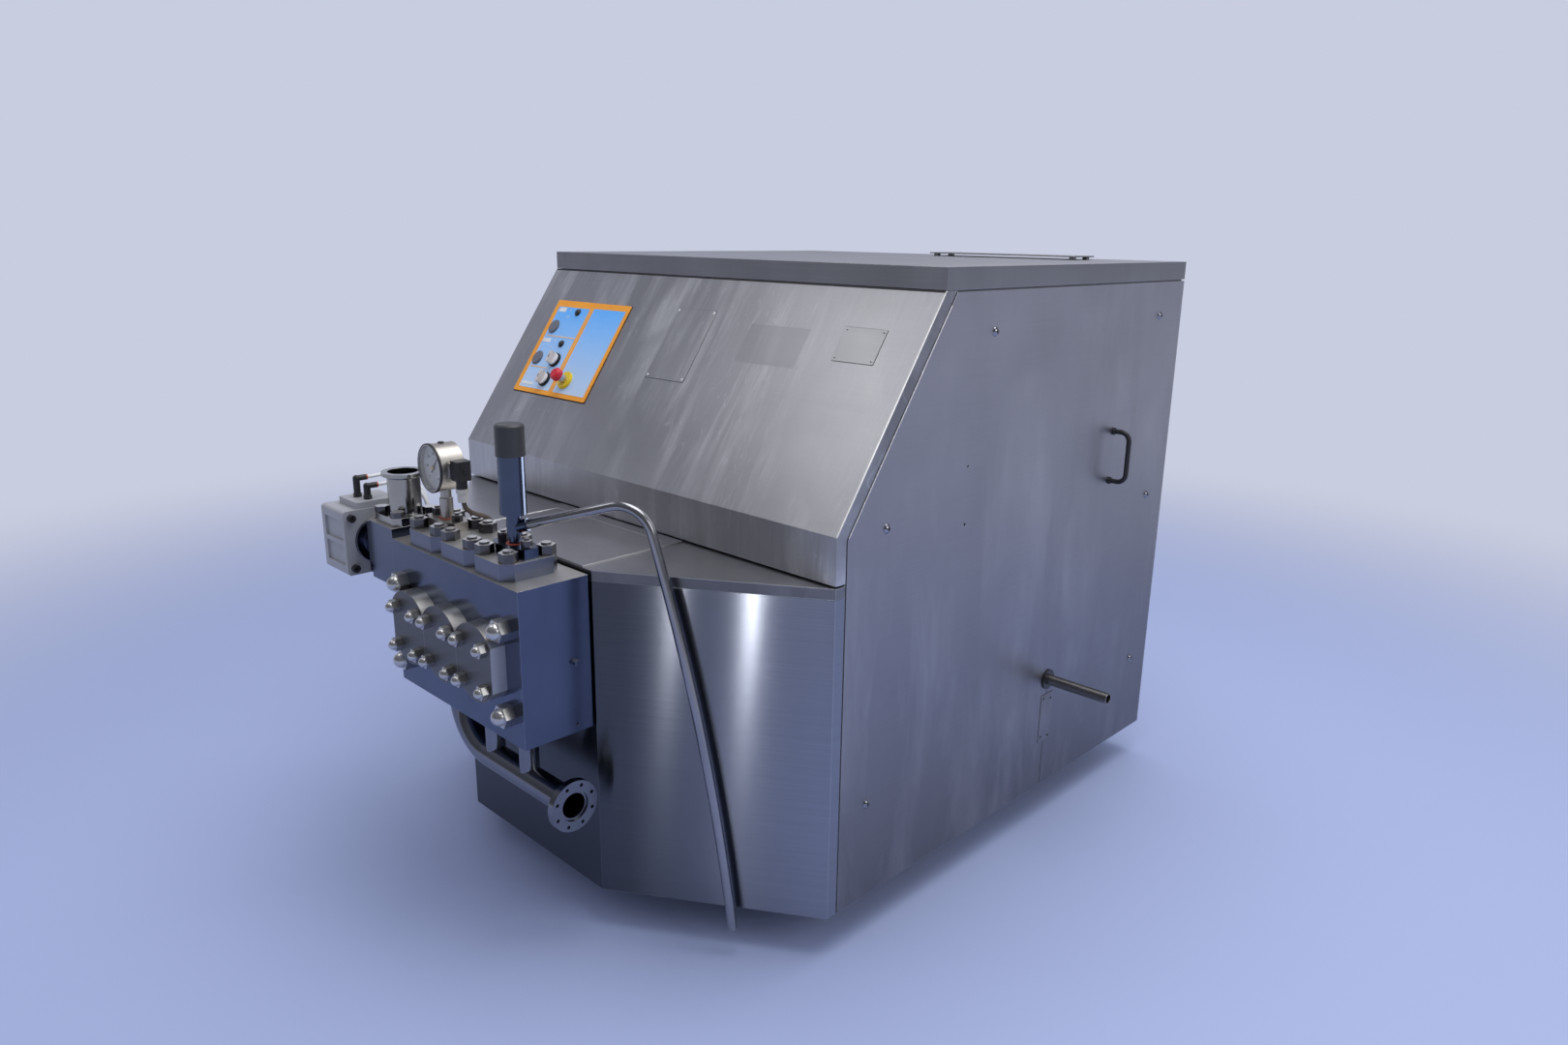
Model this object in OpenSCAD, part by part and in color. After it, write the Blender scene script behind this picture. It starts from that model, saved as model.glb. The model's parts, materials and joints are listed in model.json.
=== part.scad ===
// Three-plunger high-pressure homogenizer for milk: steel casing on a welded frame,
// pump block with its valves at the front, crank drive and motor inside.
// Origin on the floor in the middle of the feet; +X right, +Y to the rear, +Z up.

/* [Casing] */
// Overall width of the casing
casing_w = 1200; // [1100:10:1300]
// Overall depth of the casing
casing_d = 1454; // [1420:2:1560]
// Height of the casing's lower edge above the floor
floor_gap = 84; // [64:2:120]
// Sheet thickness
sheet = 3; // [2:0.5:4]
// Width of the flat middle of the front
front_w = 462; // [450:2:500]
// Depth of the slanted front corners
corner_d = 239; // [200:1:250]
// Height of the front deck above the floor
deck_z = 730; // [725:1:760]
// Depth of the folded rim round the front deck
deck_rim = 20; // [12:1:30]
// Width of the open seam between panels
seam = 4; // [3:0.5:6]
// Width of the folded edge beside the side panels
fold_w = 24; // [18:1:30]

/* [Hood and lid] */
// Height of the upright strip at the foot of the hood
strip_h = 90; // [70:1:110]
// Height of the lid's top above the floor
lid_top = 1260; // [1230:5:1320]
// Depth of the lid's folded rim
lid_rim = 40; // [30:1:50]
// Depth of the lid from front to back
lid_d = 940; // [880:5:960]
// Width of the vent cover on the lid
vent_w = 425; // [300:5:450]
// Depth of the vent cover on the lid
vent_d = 90; // [80:5:160]
// Air gap under the vent cover
vent_gap = 6; // [3:0.5:8]

/* [Frame and feet] */
// Width and height of the base beams
beam = 80; // [60:2:90]
// Width of the upright posts and rails
post = 40; // [30:1:50]
// Spacing of the two outer base beams
beam_spacing = 760; // [720:10:800]
// Spacing of the two middle base beams
spine_spacing = 320; // [300:5:340]
// Distance between front and rear feet
foot_spacing = 800; // [760:10:840]
// Spacing of the anchor holes across the machine
anchor_spacing = 640; // [600:5:660]
// Diameter of the anchor holes
anchor_d = 18; // [12:1:22]
// Thickness of a foot plate
foot_t = 14; // [10:1:20]
// Diameter of a foot's levelling screw
foot_screw_d = 30; // [24:1:36]

/* [Pump block] */
// Distance between neighbouring plungers
pitch = 120; // [116:1:126]
// Diameter of a plunger
plunger_d = 40; // [32:1:42]
// Stroke of a plunger
stroke = 60; // [50:1:64]
// Height of the plunger axes above the floor
plunger_z = 572; // [566:1:578]
// Height of the pump block
block_h = 294; // [284:1:304]
// Depth of the pump block
block_d = 144; // [138:1:152]
// Block length beyond the outer cylinders' caps, at each end
block_end = 45; // [42:1:55]
// Height of the block's top above the plunger axes
block_rise = 151; // [146:1:156]
// Gap between the block and the casing's front
block_gap = 6; // [4:0.5:10]
// Lift of the suction and discharge valves
valve_lift = 7; // [4:0.5:9]
// Diameter of the valve seats' bores
seat_bore = 36; // [30:1:40]

/* [Caps and covers] */
// Thickness of a valve cap plate
cap_t = 32; // [26:1:38]
// Chamfer at the corners of a cap plate
cap_chamfer = 20; // [12:1:22]
// Width across flats of a cap nut
cap_nut_af = 30; // [27:1:32]
// Spacing of the nuts on a cap plate
cap_nut_pitch = 78; // [74:1:80]
// Diameter of a cylinder cover
cover_d = 146; // [140:1:150]
// Thickness of a cylinder cover
cover_t = 30; // [24:1:34]
// Width across flats of a cylinder cover nut
cover_nut_af = 24; // [20:1:27]
// Spacing of the nuts on a cylinder cover
cover_nut_pitch = 78; // [74:1:82]
// Width across flats of a large block nut
block_nut_af = 38; // [34:1:42]
// Height between the upper and the lower block nuts
block_nut_rise = 160; // [154:1:168]

/* [Suction manifold] */
// Outside diameter of the manifold pipe
manifold_d = 52; // [46:1:56]
// Wall of the manifold pipe
manifold_wall = 2; // [1.5:0.5:3]
// Outside diameter of a branch to the block
branch_d = 38; // [34:1:44]
// Drop of the manifold axis below the block
manifold_drop = 121; // [112:1:130]
// Bend radius of the manifold's closed end
manifold_bend = 100; // [85:1:108]
// How far the flange face stands beyond the block's end
flange_reach = 38; // [30:1:60]
// Outside diameter of the suction flange
flange_d = 98; // [94:1:110]
// Thickness of the suction flange
flange_t = 14; // [10:1:20]
// Bolt circle of the suction flange
flange_pcd = 80; // [76:1:84]
// Bolt holes in the suction flange
flange_holes = 8; // [6:1:8]
// Diameter of a flange bolt hole
flange_hole_d = 7; // [5:0.5:8]

/* [Homogenizing valve] */
// Length of the valve housing along the block
housing_len = 98; // [94:1:106]
// Height of the valve housing
housing_h = 120; // [112:1:126]
// Height of the valve housing's top above the block's top
housing_rise = 19; // [10:1:24]
// Distance from the housing's front to the valve axis
valve_setback = 39; // [36:1:44]
// Diameter of the valve forcer
forcer_d = 40; // [34:1:42]
// Diameter of the actuator rod
rod_d = 24; // [20:1:28]
// Travel of the forcer
forcer_travel = 4; // [2:0.5:6]
// Outside diameter of the outlet pipe
outlet_d = 64; // [60:1:70]
// Wall of the outlet pipe
outlet_wall = 2; // [1.5:0.5:3]
// Outside diameter of the outlet ferrule
ferrule_d = 84; // [80:1:91]
// Height of the outlet ferrule above its flange
outlet_h = 84; // [70:1:100]
// Length of the neck between housing and actuator
neck_len = 52; // [44:1:60]
// Length of the actuator
actuator_len = 104; // [90:1:115]
// Width and height of the actuator
actuator_w = 137; // [128:1:140]
// Bore of the actuator cylinder
actuator_bore = 110; // [100:1:112]

/* [Pressure gauge] */
// Outside diameter of the gauge case
gauge_d = 94; // [90:1:110]
// Depth of the gauge case
gauge_depth = 51; // [46:1:70]
// Height of the gauge's centre above the cap plates
gauge_rise = 120; // [112:1:140]
// Turn of the gauge's face towards the machine's left
gauge_turn = 2; // [0:1:30]
// Diameter of the gauge stem
stem_d = 25; // [22:1:30]

/* [Relief valve] */
// Diameter of the relief valve's body
relief_d = 48; // [42:1:54]
// Diameter of the relief valve's neck
relief_neck_d = 27; // [24:1:32]
// Height of the body's lower end above the cap plate
relief_foot = 73; // [66:1:80]
// Length of the relief valve's body
relief_len = 105; // [90:1:120]
// Height of the relief valve's cap
relief_cap_h = 56; // [50:1:70]
// Outside diameter of the discharge tube
tube_d = 18; // [15:1:20]
// Length of the discharge tube's upper leg, to the corner
tube_upper = 253; // [240:1:280]
// Length of the discharge tube's lower leg, along its curve
tube_lower = 768; // [680:1:780]
// Bend radius of the discharge tube
tube_bend = 60; // [45:1:70]

/* [Controls] */
// Width of the control panel
panel_w = 286; // [270:1:300]
// Height of the control panel along the slope
panel_h = 249; // [240:1:270]
// Diameter of the collars round the switches
collar_d = 36; // [30:1:38]
// Diameter of the emergency stop's head
estop_d = 30; // [26:1:36]
// Height of the emergency stop's head above the panel
estop_reach = 24; // [20:1:30]
// Travel of the emergency stop's head
estop_travel = 6; // [4:0.5:8]

/* [Side panels] */
// Diameter of a panel screw's head
screw_d = 19; // [16:1:22]
// Spacing of a handle's two ends
handle_pitch = 114; // [90:1:140]
// Diameter of the handle's rod
handle_rod = 11; // [8:0.5:14]
// How far the handle stands off the panel
handle_reach = 45; // [35:1:60]
// Outside diameter of the drain pipe
drain_d = 24; // [18:1:30]
// How far the drain pipe stands out of the side
drain_reach = 150; // [100:5:180]

/* [Drive] */
// Diameter of the drive pulley
pulley_d = 500; // [460:5:510]
// Diameter of the motor pulley
motor_pulley_d = 140; // [120:5:160]
// Number of drive belts
belts = 5; // [3:1:5]
// Diameter of the crankshaft
shaft_d = 70; // [60:1:80]
// Diameter of the motor's frame
motor_d = 380; // [340:5:400]
// Length of the motor's frame
motor_len = 520; // [460:5:540]

/* [Hidden] */
$fn = 48;
fine = 96;
run_fit = 0.05;

// Casing outline
half_w = casing_w / 2;
half_d = casing_d / 2;
front_y = -half_d;
corner_y = front_y + corner_d;
edge_y = corner_y + fold_w;
front_slant = atan2(corner_d, half_w - front_w / 2);
panel_top = lid_top - lid_rim - seam;
in_w = half_w - sheet;
hood_bottom = deck_z + seam;
hood_fold_z = deck_z + strip_h;
lid_front_y = half_d - lid_d;
hood_top_z = lid_top - lid_rim - 1;

// Hood slope: length, tilt from level, and the unit step down it
slope_dy = lid_front_y - corner_y;
slope_dz = hood_top_z - hood_fold_z;
slope_len = sqrt(slope_dy * slope_dy + slope_dz * slope_dz);
slope_tilt = atan2(slope_dz, slope_dy);

// The slope moved in by an inset: its distance to the rear at a height, and its foot's height
function slope_y(inset, z) =
    corner_y + (inset + (z - hood_fold_z) * cos(slope_tilt)) / sin(slope_tilt);
function fold_z(inset) = hood_fold_z - inset * tan((90 - slope_tilt) / 2);

hood_lip = 30;
lid_gap = 2;

// Plunger cover on the deck, cable grommet beside it, vent on the lid
cover_half = 205;
cover_bead = 28;
cover_lap = 22;
cover_d_y = corner_d - 5;
cable_hole = [-229, -695.5];
vent_x = -18;
vent_y = half_d - 175;

// Base frame: its height, its cross beams and its posts
frame_top = floor_gap + beam;
cross_front = edge_y + post / 2;
cross_rear = half_d - sheet - beam / 2;
cross_y = [cross_front, 100, cross_rear];
rear_post_y = half_d - sheet - post;
rail_inset = 2;

// Pump block
cylinder_x = [-pitch, 0, pitch];
block_right = 1.5 * pitch + block_end + 3;
block_left = -1.5 * pitch - block_end + 3;
block_back = front_y - block_gap;
block_front = block_back - block_d;
block_mid = (block_back + block_front) / 2;
block_top = plunger_z + block_rise;
block_bottom = block_top - block_h;
chamber_d = 58;
chamber_bottom = plunger_z - 72;
seat_land = plunger_z + 64;
seat_land_t = 14;
upper_chamber_d = 62;
gallery_d = 30;
gallery_z = block_top - 33;
gland_d = 70;
gland_len = 40;

// Block nuts sit outside the outer cylinder covers
block_nut_x = pitch + cover_d / 2 - 11;
block_nut_z = [plunger_z - 7 + block_nut_rise / 2, plunger_z - 7 - block_nut_rise / 2];

// Caps
cap_w = pitch - 1;
cap_top = block_top + cap_t;
cap_y = block_mid - 5;
cap_nut_h = 18;
pad_t = 19;
pad_top = cap_top + pad_t;
pad_bolt = 38;

// Suction manifold
manifold_z = block_bottom - manifold_drop;
flange_face = block_right + flange_reach;
flange_recess_d = manifold_d + 6;
flange_recess = 4;

// Homogenizing valve
housing_right = block_left;
housing_left = housing_right - housing_len;
housing_top = block_top + housing_rise;
housing_bottom = housing_top - housing_h;
valve_y = block_front + valve_setback;
valve_z = housing_bottom + housing_h / 2 + 2;
end_plate_t = 12;
forcer_len = 62;
end_plate_left = housing_left - end_plate_t;
neck_d = 64;
boss_d = 96;
boss_t = 8;
actuator_right = housing_left - neck_len;
actuator_left = actuator_right - actuator_len;
actuator_wall = 14;
actuator_top = valve_z + actuator_w / 2;
pad_raise = 14;
outlet_x = housing_left + housing_len / 2;
outlet_y = block_front + 57;
outlet_flange_t = 17;
outlet_flange_top = housing_top + outlet_flange_t;
ferrule_t = 7;
outlet_chamfer = 14;
outlet_bolt = 34;

// Gauge: its axis, counted from the stem on the first cap plate
gauge_x = cylinder_x[0];
gauge_y = cap_y;
gauge_z = cap_top + gauge_rise;
gauge_front = 30;
bezel_w = 4;
dial_recess = 12;
dial_t = 1;
glass_t = 2;
arbor_d = 3;
pointer_t = 1;
// Turn of the pointer at rest, clockwise from upright
pointer_rest = 40;
plug_w = 30;
plug_h = 37;
plug_low = -16;
plug_neck = 18;
plug_neck_d = 21;
plug_gland_d = 19;
plug_pad = gauge_d / 2 + 2;
plug_back = 2;

// Relief valve on the third cap plate
relief_x = cylinder_x[2];
relief_y = cap_y;
relief_z = cap_top + relief_foot;
relief_top = relief_z + relief_len;
tube_z = cap_top + 48;
tube_heading = 30;
tube_climb = 15.5;
// The lower leg curves gently back towards the upright, at this radius
leg_radius = 4800;
leg_turn = tube_lower * 180 / (PI * leg_radius);
tube_wall = 1.5;
tube_socket = 28;

// Drive
plunger_room = 257;
case_front = front_y + plunger_room;
case_back = case_front + 410;
crank_y = case_front + 220;
crank_z = plunger_z;
case_x = 1.5 * pitch + 60;
case_top = plunger_z + 170;
bearing_d = 150;
bearing_t = 24;
throw = stroke / 2;
pin_d = 80;
web_t = 18;
web_d = 2 * throw + pin_d + 10;
cavity_d = web_d + 16;
cavity_x = 1.5 * pitch + web_t;
guide_d = 44;
groove = 19;
pulley_w = belts * groove + 5;
pulley_x = 305;
belt_centres = 600;
motor_y = crank_y + belt_centres;
motor_z = frame_top + 225;
motor_right = 230;
motor_shaft_d = 60;
belt_h = 12;
belt_w = 9;
// Crank phases at rest: how far each plunger stands from mid-stroke
phase = [90, 210, 330];
function plunger_shift(i) = throw * cos(phase[i]);

// Control panel places on the slope: distance across, distance down from the top
panel_x = -376.5;
panel_s = 212.5;
blank_at = [[-484, 161], [-486, 247]];
lamp_at = [[-419, 118], [-421, 204]];
selector_at = [[-413, 247], [-415, 299]];
estop_at = [-336, 293];
plate_t = 2;
collar_h = 6;
estop_collar_d = 44;
estop_neck_d = 20;
knob_neck_d = 16;
switch_hole_d = 24;

// Side panel places: distance to the rear, height
screw_at = [[-54, 1140], [618, 1140], [-356, 812], [642, 711], [-386, 283], [646, 284]];
handle_at = [447, 833];
drain_at = [245, 346];
drain_hole_d = drain_d + 16;
drain_slot = 3;
spare_hole_y = -118;
spare_hole_d = 6;

// Cord routes
hose_d = 8;
hose_routes = [
    [[-425, -829, 806], [-425, -815, 806], [-423, -800, 807], [-417, -780, 807], [-405, -760, 803],
     [-388, -744, 793], [-372, -734, 777], [-362, -729, 756], [-358, -727, 732], [-358, -726, 708],
     [-360, -722, 684], [-361, -712, 664], [-360, -698, 651], [-356, -680, 645], [-348, -668, 644]],
    [[-393, -822, 794], [-393, -808, 794], [-391, -793, 795], [-386, -775, 795], [-376, -758, 790],
     [-364, -746, 779], [-352, -739, 763], [-343, -736, 742], [-338, -735, 718], [-338, -734, 696],
     [-340, -730, 674], [-341, -721, 657], [-338, -708, 646], [-332, -696, 641], [-324, -684, 640]]];
bulkhead_at = [[-340, 644], [-316, 640]];
cable_d = 9;
cable_route = [
    [-58, -807, 819], [-58, -807, 811], [-58, -804, 804], [-58, -798, 797.5], [-59, -790, 791.5],
    [-60, -780, 786.5], [-60, -769, 782], [-60.5, -758.5, 776], [-63, -750, 768], [-71, -744, 758.5],
    [-83, -741, 748], [-98, -739.5, 739.5], [-116, -738.7, 733], [-136, -738.3, 729.7], [-156, -738, 729],
    [-176, -738, 730.5], [-193, -737.3, 734.5], [-206, -735.3, 740], [-216, -731, 746], [-224, -723, 750.5],
    [-228, -712, 751], [-229, -702.5, 747], [-229, -697, 739], [-229, -695.5, 728]];

// Tubes swept along a route
function unit(v) = v / norm(v);
function heading(route, i) =
    unit(route[min(i + 1, len(route) - 1)] - route[max(i - 1, 0)]);
function ring(centre, dir, aside, r, sides) =
    let (across = unit(cross(dir, aside)), up = cross(dir, across))
    [for (k = [0:sides - 1]) centre + r * (cos(360 * k / sides) * across + sin(360 * k / sides) * up)];

module swept_tube(route, d, aside, sides = 8) {
    last = len(route) - 1;
    points = [for (i = [0:last]) each ring(route[i], heading(route, i), aside, d / 2, sides)];
    walls = [for (i = [0:last - 1], k = [0:sides - 1])
        let (near = i * sides, far = near + sides, next = (k + 1) % sides)
        [near + k, far + k, far + next, near + next]];
    start = [for (k = [0:sides - 1]) k];
    end = [for (k = [sides - 1:-1:0]) last * sides + k];
    polyhedron(points = points, faces = concat([start, end], walls));
}

// Shapes that repeat
module along_x() {
    rotate([0, 90, 0]) children();
}

module along_y() {
    rotate([-90, 0, 0]) children();
}

module out_front() {
    rotate([90, 0, 0]) children();
}

module both_sides() {
    children();
    mirror([1, 0, 0]) children();
}

module hex(af, h) {
    cylinder(d = af / cos(30), h = h, $fn = 6);
}

module dome_nut(af, hex_h) {
    hex(af, hex_h);
    translate([0, 0, hex_h - 1]) cylinder(d = af * 0.94, h = 2);
    translate([0, 0, hex_h]) sphere(d = af * 0.84);
}

module tube(d, wall, h) {
    difference() {
        cylinder(d = d, h = h, $fn = fine);
        translate([0, 0, -1]) cylinder(d = d - 2 * wall, h = h + 2, $fn = fine);
    }
}

module square_of(spacing) {
    for (x = [-1, 1], y = [-1, 1]) translate([x * spacing / 2, y * spacing / 2]) children();
}

module rounded_rect(w, h, r) {
    square([w - 2 * r, h], center = true);
    square([w, h - 2 * r], center = true);
    for (x = [-1, 1], y = [-1, 1]) translate([x * (w / 2 - r), y * (h / 2 - r)]) circle(r = r);
}

module chamfered_square(w, chamfer) {
    a = w / 2;
    b = a - chamfer;
    polygon([[-b, -a], [b, -a], [a, -b], [a, b], [b, a], [-b, a], [-a, b], [-a, -b]]);
}

// Two-lobed flange pad under the gauge and the relief valve
module lobed_flange(t) {
    lobe = 14;
    waist = 25;
    linear_extrude(t) polygon([[-pad_bolt - lobe, -lobe], [-waist, -waist], [waist, -waist],
        [pad_bolt + lobe, -lobe], [pad_bolt + lobe, lobe], [waist, waist], [-waist, waist],
        [-pad_bolt - lobe, lobe]]);
}

// A sheet folded round the front: its outer line lies on the casing's outline
module front_outline(inset) {
    shift = inset * tan((90 - front_slant) / 2);
    ease = inset * tan(front_slant / 2);
    polygon([[-half_w + inset, edge_y + 40], [-half_w + inset, corner_y + shift],
        [-front_w / 2 + ease, front_y + inset], [front_w / 2 - ease, front_y + inset],
        [half_w - inset, corner_y + shift], [half_w - inset, edge_y + 40]]);
}

module front_wall(z, h) {
    translate([0, 0, z]) linear_extrude(h) intersection() {
        difference() {
            front_outline(0);
            front_outline(sheet);
        }
        translate([-casing_w, front_y - 10]) square([2 * casing_w, edge_y - front_y + 10]);
    }
}

// Places on the hood's slope: x across, s down the slope, +Z out of the sheet
module on_slope(at) {
    translate([at[0], lid_front_y, hood_top_z]) rotate([slope_tilt, 0, 0]) translate([0, -at[1], 0])
        children();
}

// Side view of the space behind the hood's sheet moved in by an inset, as (y, z)
module behind_hood(inset, lip, bottom, top) {
    polygon([[lid_front_y + lip, top], [slope_y(inset, top), top], [corner_y + inset, fold_z(inset)],
        [corner_y + inset, bottom], [lid_front_y + lip, bottom]]);
}

module base_frame() {
    color("dimgray") difference() {
        union() {
            base_beams();
            both_sides() frame_side();
            top_rails();
        }
        for (x = [-1, 1], y = [-1, 1])
            translate([x * beam_spacing / 2, y * foot_spacing / 2, floor_gap - 1])
                cylinder(d = foot_screw_d + 2 * run_fit, h = beam / 2);
    }
}

module base_beams() {
    both_sides() {
        translate([beam_spacing / 2 - beam / 2, cross_front, floor_gap])
            cube([beam, cross_rear - cross_front, beam]);
        translate([spine_spacing / 2 - beam / 2, front_y + sheet, floor_gap])
            cube([beam, cross_rear - front_y - sheet, beam]);
    }
    for (y = cross_y) translate([-in_w, y - beam / 2, floor_gap]) cube([2 * in_w, beam, beam]);
}

// Posts, side rail and the rail under the hood's slope, on the right
module frame_side() {
    low_rail_z = panel_top - post;
    translate([in_w - post, rear_post_y, frame_top]) cube([post, post, panel_top - frame_top]);
    translate([in_w - post, edge_y, frame_top]) cube([post, post, hood_fold_z + 4 - frame_top]);
    translate([in_w - post, lid_front_y + 22, low_rail_z])
        cube([post, rear_post_y - lid_front_y - 22, post]);
    on_slope([in_w - post + rail_inset, slope_len - 20]) translate([0, 0, -sheet - post + 3])
        cube([post - 2 * rail_inset, slope_len - 28, post - 3]);
}

// Ring of rails that the lid rests on, clear of its rim
module top_rails() {
    front = lid_front_y + hood_lip + lid_gap;
    rear = half_d - sheet - lid_gap;
    side = in_w - lid_gap;
    translate([-side, front, panel_top - 1]) difference() {
        cube([2 * side, rear - front, lid_top - sheet - panel_top + 1]);
        translate([post, post, -1]) cube([2 * side - 2 * post, rear - front - 2 * post, lid_rim + 10]);
    }
}

module machine_feet() {
    color("darkgray") for (x = [-1, 1], y = [-1, 1]) {
        translate([x * beam_spacing / 2, y * foot_spacing / 2, 0]) {
            difference() {
                translate([x * (anchor_spacing - beam_spacing) / 4, 0, 0]) linear_extrude(foot_t)
                    rounded_rect((beam_spacing - anchor_spacing) / 2 + 90, 100, 20);
                translate([x * (anchor_spacing - beam_spacing) / 2, 0, -1])
                    cylinder(d = anchor_d, h = foot_t + 2);
            }
            translate([0, 0, foot_t - 1]) cylinder(d = foot_screw_d, h = floor_gap + 25 - foot_t);
            translate([0, 0, floor_gap - 24]) hex(foot_screw_d * 1.5, 24);
        }
    }
}

module front_casing() {
    color("silver") difference() {
        front_wall(floor_gap, deck_z - deck_rim - floor_gap);
        translate([-block_nut_x - 32, front_y - 5, block_nut_z[1] - 32])
            cube([2 * block_nut_x + 64, 15, block_nut_rise + 64]);
        chamfer_places() translate([0, 0, -20]) cylinder(d = 16, h = 30);
    }
}

// Places of the two hose bulkheads on the left slanted corner, +Z out of the sheet
module chamfer_places() {
    for (at = bulkhead_at)
        translate([at[0], front_y + (-at[0] - front_w / 2) * tan(front_slant), at[1]])
            rotate([0, 0, -front_slant]) rotate([90, 0, 0]) children();
}

module front_deck() {
    color("silver") difference() {
        union() {
            front_wall(deck_z - deck_rim, deck_rim);
            translate([0, 0, deck_z - sheet]) linear_extrude(sheet) intersection() {
                front_outline(0);
                translate([-casing_w, front_y - 10]) square([2 * casing_w, edge_y - front_y + 10]);
            }
        }
        translate([-cover_half + cover_lap, front_y + cover_lap, deck_z - sheet - 1])
            cube([2 * cover_half - 2 * cover_lap, cover_d_y - 2 * cover_lap, sheet + 2]);
        translate([cable_hole[0], cable_hole[1], deck_z - sheet - 1])
            cylinder(d = cable_d + 6, h = sheet + 2);
    }
    color("black") translate([cable_hole[0], cable_hole[1], deck_z - sheet]) difference() {
        union() {
            cylinder(d = cable_d + 6, h = sheet);
            translate([0, 0, sheet]) cylinder(d = cable_d + 12, h = 3);
        }
        translate([0, 0, -1]) cylinder(d = cable_d + 2, h = sheet + 5);
    }
}

module plunger_cover() {
    color("silver") translate([-cover_half, front_y, deck_z]) difference() {
        cube([2 * cover_half, cover_d_y, sheet]);
        translate([cover_bead, cover_bead, sheet - 1])
            cube([2 * cover_half - 2 * cover_bead, cover_d_y - 2 * cover_bead, 2]);
    }
}

module hood() {
    color("silver") difference() {
        union() {
            translate([-half_w, 0, 0]) along_x_profile(casing_w) difference() {
                behind_hood(0, hood_lip, hood_bottom, hood_top_z);
                behind_hood(sheet, hood_lip + 1, hood_bottom - 1, hood_top_z - sheet);
            }
            both_sides() translate([half_w - sheet, 0, 0]) along_x_profile(sheet) difference() {
                behind_hood(0, hood_lip, hood_bottom, hood_top_z);
                behind_hood(fold_w, casing_d, hood_bottom - 1, hood_top_z + 1);
            }
        }
        for (at = concat(selector_at, [estop_at]))
            on_slope(at) translate([0, 0, -sheet - 1]) cylinder(d = switch_hole_d, h = sheet + 2);
    }
}

// Extrudes a side view drawn as (y, z) along +X
module along_x_profile(len) {
    rotate([90, 0, 90]) linear_extrude(len) children();
}

module side_sheet() {
    inset = fold_w + seam;
    rear = half_d - sheet - 1;
    translate([half_w - sheet, 0, 0]) difference() {
        along_x_profile(sheet) behind_hood(inset, rear - lid_front_y, floor_gap, panel_top);
        for (at = screw_at) translate([-1, at[0], at[1]]) along_x()
            cylinder(d = screw_d / 2, h = sheet + 2);
    }
}

module side_panel_left() {
    color("silver") mirror([1, 0, 0]) side_sheet();
}

module side_panel_right() {
    color("silver") difference() {
        side_sheet();
        translate([half_w - sheet - 1, drain_at[0], drain_at[1]]) along_x()
            cylinder(d = drain_hole_d, h = sheet + 2);
        translate([half_w - sheet - 1, drain_at[0] - drain_slot / 2, floor_gap - 1])
            cube([sheet + 2, drain_slot, drain_at[1] - floor_gap]);
        for (z = [-1, 1]) translate([half_w - sheet - 1, spare_hole_y, handle_at[1] + z * handle_pitch / 2])
            along_x() cylinder(d = spare_hole_d, h = sheet + 2);
    }
}

module rear_panel() {
    color("silver") difference() {
        translate([-half_w, half_d - sheet, floor_gap]) cube([casing_w, sheet, panel_top - floor_gap]);
        for (x = [-250, 250], z = [0:7]) translate([x - 110, half_d - sheet - 1, 330 + 34 * z])
            cube([220, sheet + 2, 10]);
    }
}

module top_lid() {
    color("silver") difference() {
        translate([-half_w, lid_front_y, lid_top - lid_rim]) cube([casing_w, lid_d, lid_rim]);
        translate([-half_w + sheet, lid_front_y + sheet, lid_top - lid_rim - 1])
            cube([casing_w - 2 * sheet, lid_d - 2 * sheet, lid_rim + 1 - sheet]);
        translate([vent_x + 25, vent_y + 25, lid_top - sheet - 1])
            cube([vent_w - 50, vent_d - 50, sheet + 2]);
    }
}

module lid_vent() {
    color("gray") {
        translate([vent_x, vent_y, lid_top + vent_gap]) cube([vent_w, vent_d, sheet]);
        for (x = [8, vent_w - 20], y = [8, vent_d - 20])
            translate([vent_x + x, vent_y + y, lid_top]) cube([12, 12, vent_gap]);
    }
}

module panel_screws() {
    color("gainsboro") both_sides() for (at = screw_at) translate([half_w, at[0], at[1]]) along_x() {
        intersection() {
            translate([0, 0, -screw_d * 0.28]) sphere(d = screw_d * 1.15);
            cylinder(d = screw_d, h = screw_d);
        }
        translate([0, 0, -12]) cylinder(d = screw_d / 2 - 1, h = 12.5);
    }
}

module side_handles() {
    color("black") both_sides() translate([half_w, handle_at[0], handle_at[1]]) side_handle();
}

module side_handle() {
    bend = 20;
    leg = handle_reach - handle_rod / 2 - bend;
    for (z = [-1, 1]) {
        translate([0, 0, z * handle_pitch / 2]) along_x() {
            cylinder(d = handle_rod, h = leg);
            cylinder(d = handle_rod * 1.5, h = 4);
        }
    }
    translate([leg + bend, 0, -handle_pitch / 2 + bend])
        cylinder(d = handle_rod, h = handle_pitch - 2 * bend);
    translate([leg, 0, handle_pitch / 2 - bend]) rotate([90, 0, 0])
        rotate_extrude(angle = 90) translate([bend, 0]) circle(d = handle_rod);
    translate([leg, 0, -handle_pitch / 2 + bend]) rotate([90, 0, 0]) rotate([0, 0, -90])
        rotate_extrude(angle = 90) translate([bend, 0]) circle(d = handle_rod);
}

module drain_stub() {
    translate([half_w, drain_at[0], drain_at[1]]) along_x() {
        color("gray") translate([0, 0, -180]) tube(drain_d, 2, 180 + drain_reach);
        color("black") difference() {
            union() {
                translate([0, 0, -sheet]) cylinder(d = drain_hole_d, h = sheet);
                translate([0, 0, 0.2]) cylinder(d = drain_hole_d + 6, h = 3);
                translate([0, 0, -0.5]) cylinder(d = drain_hole_d, h = 1);
            }
            translate([0, 0, -sheet - 1]) cylinder(d = drain_d, h = sheet + 6);
        }
    }
}

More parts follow.
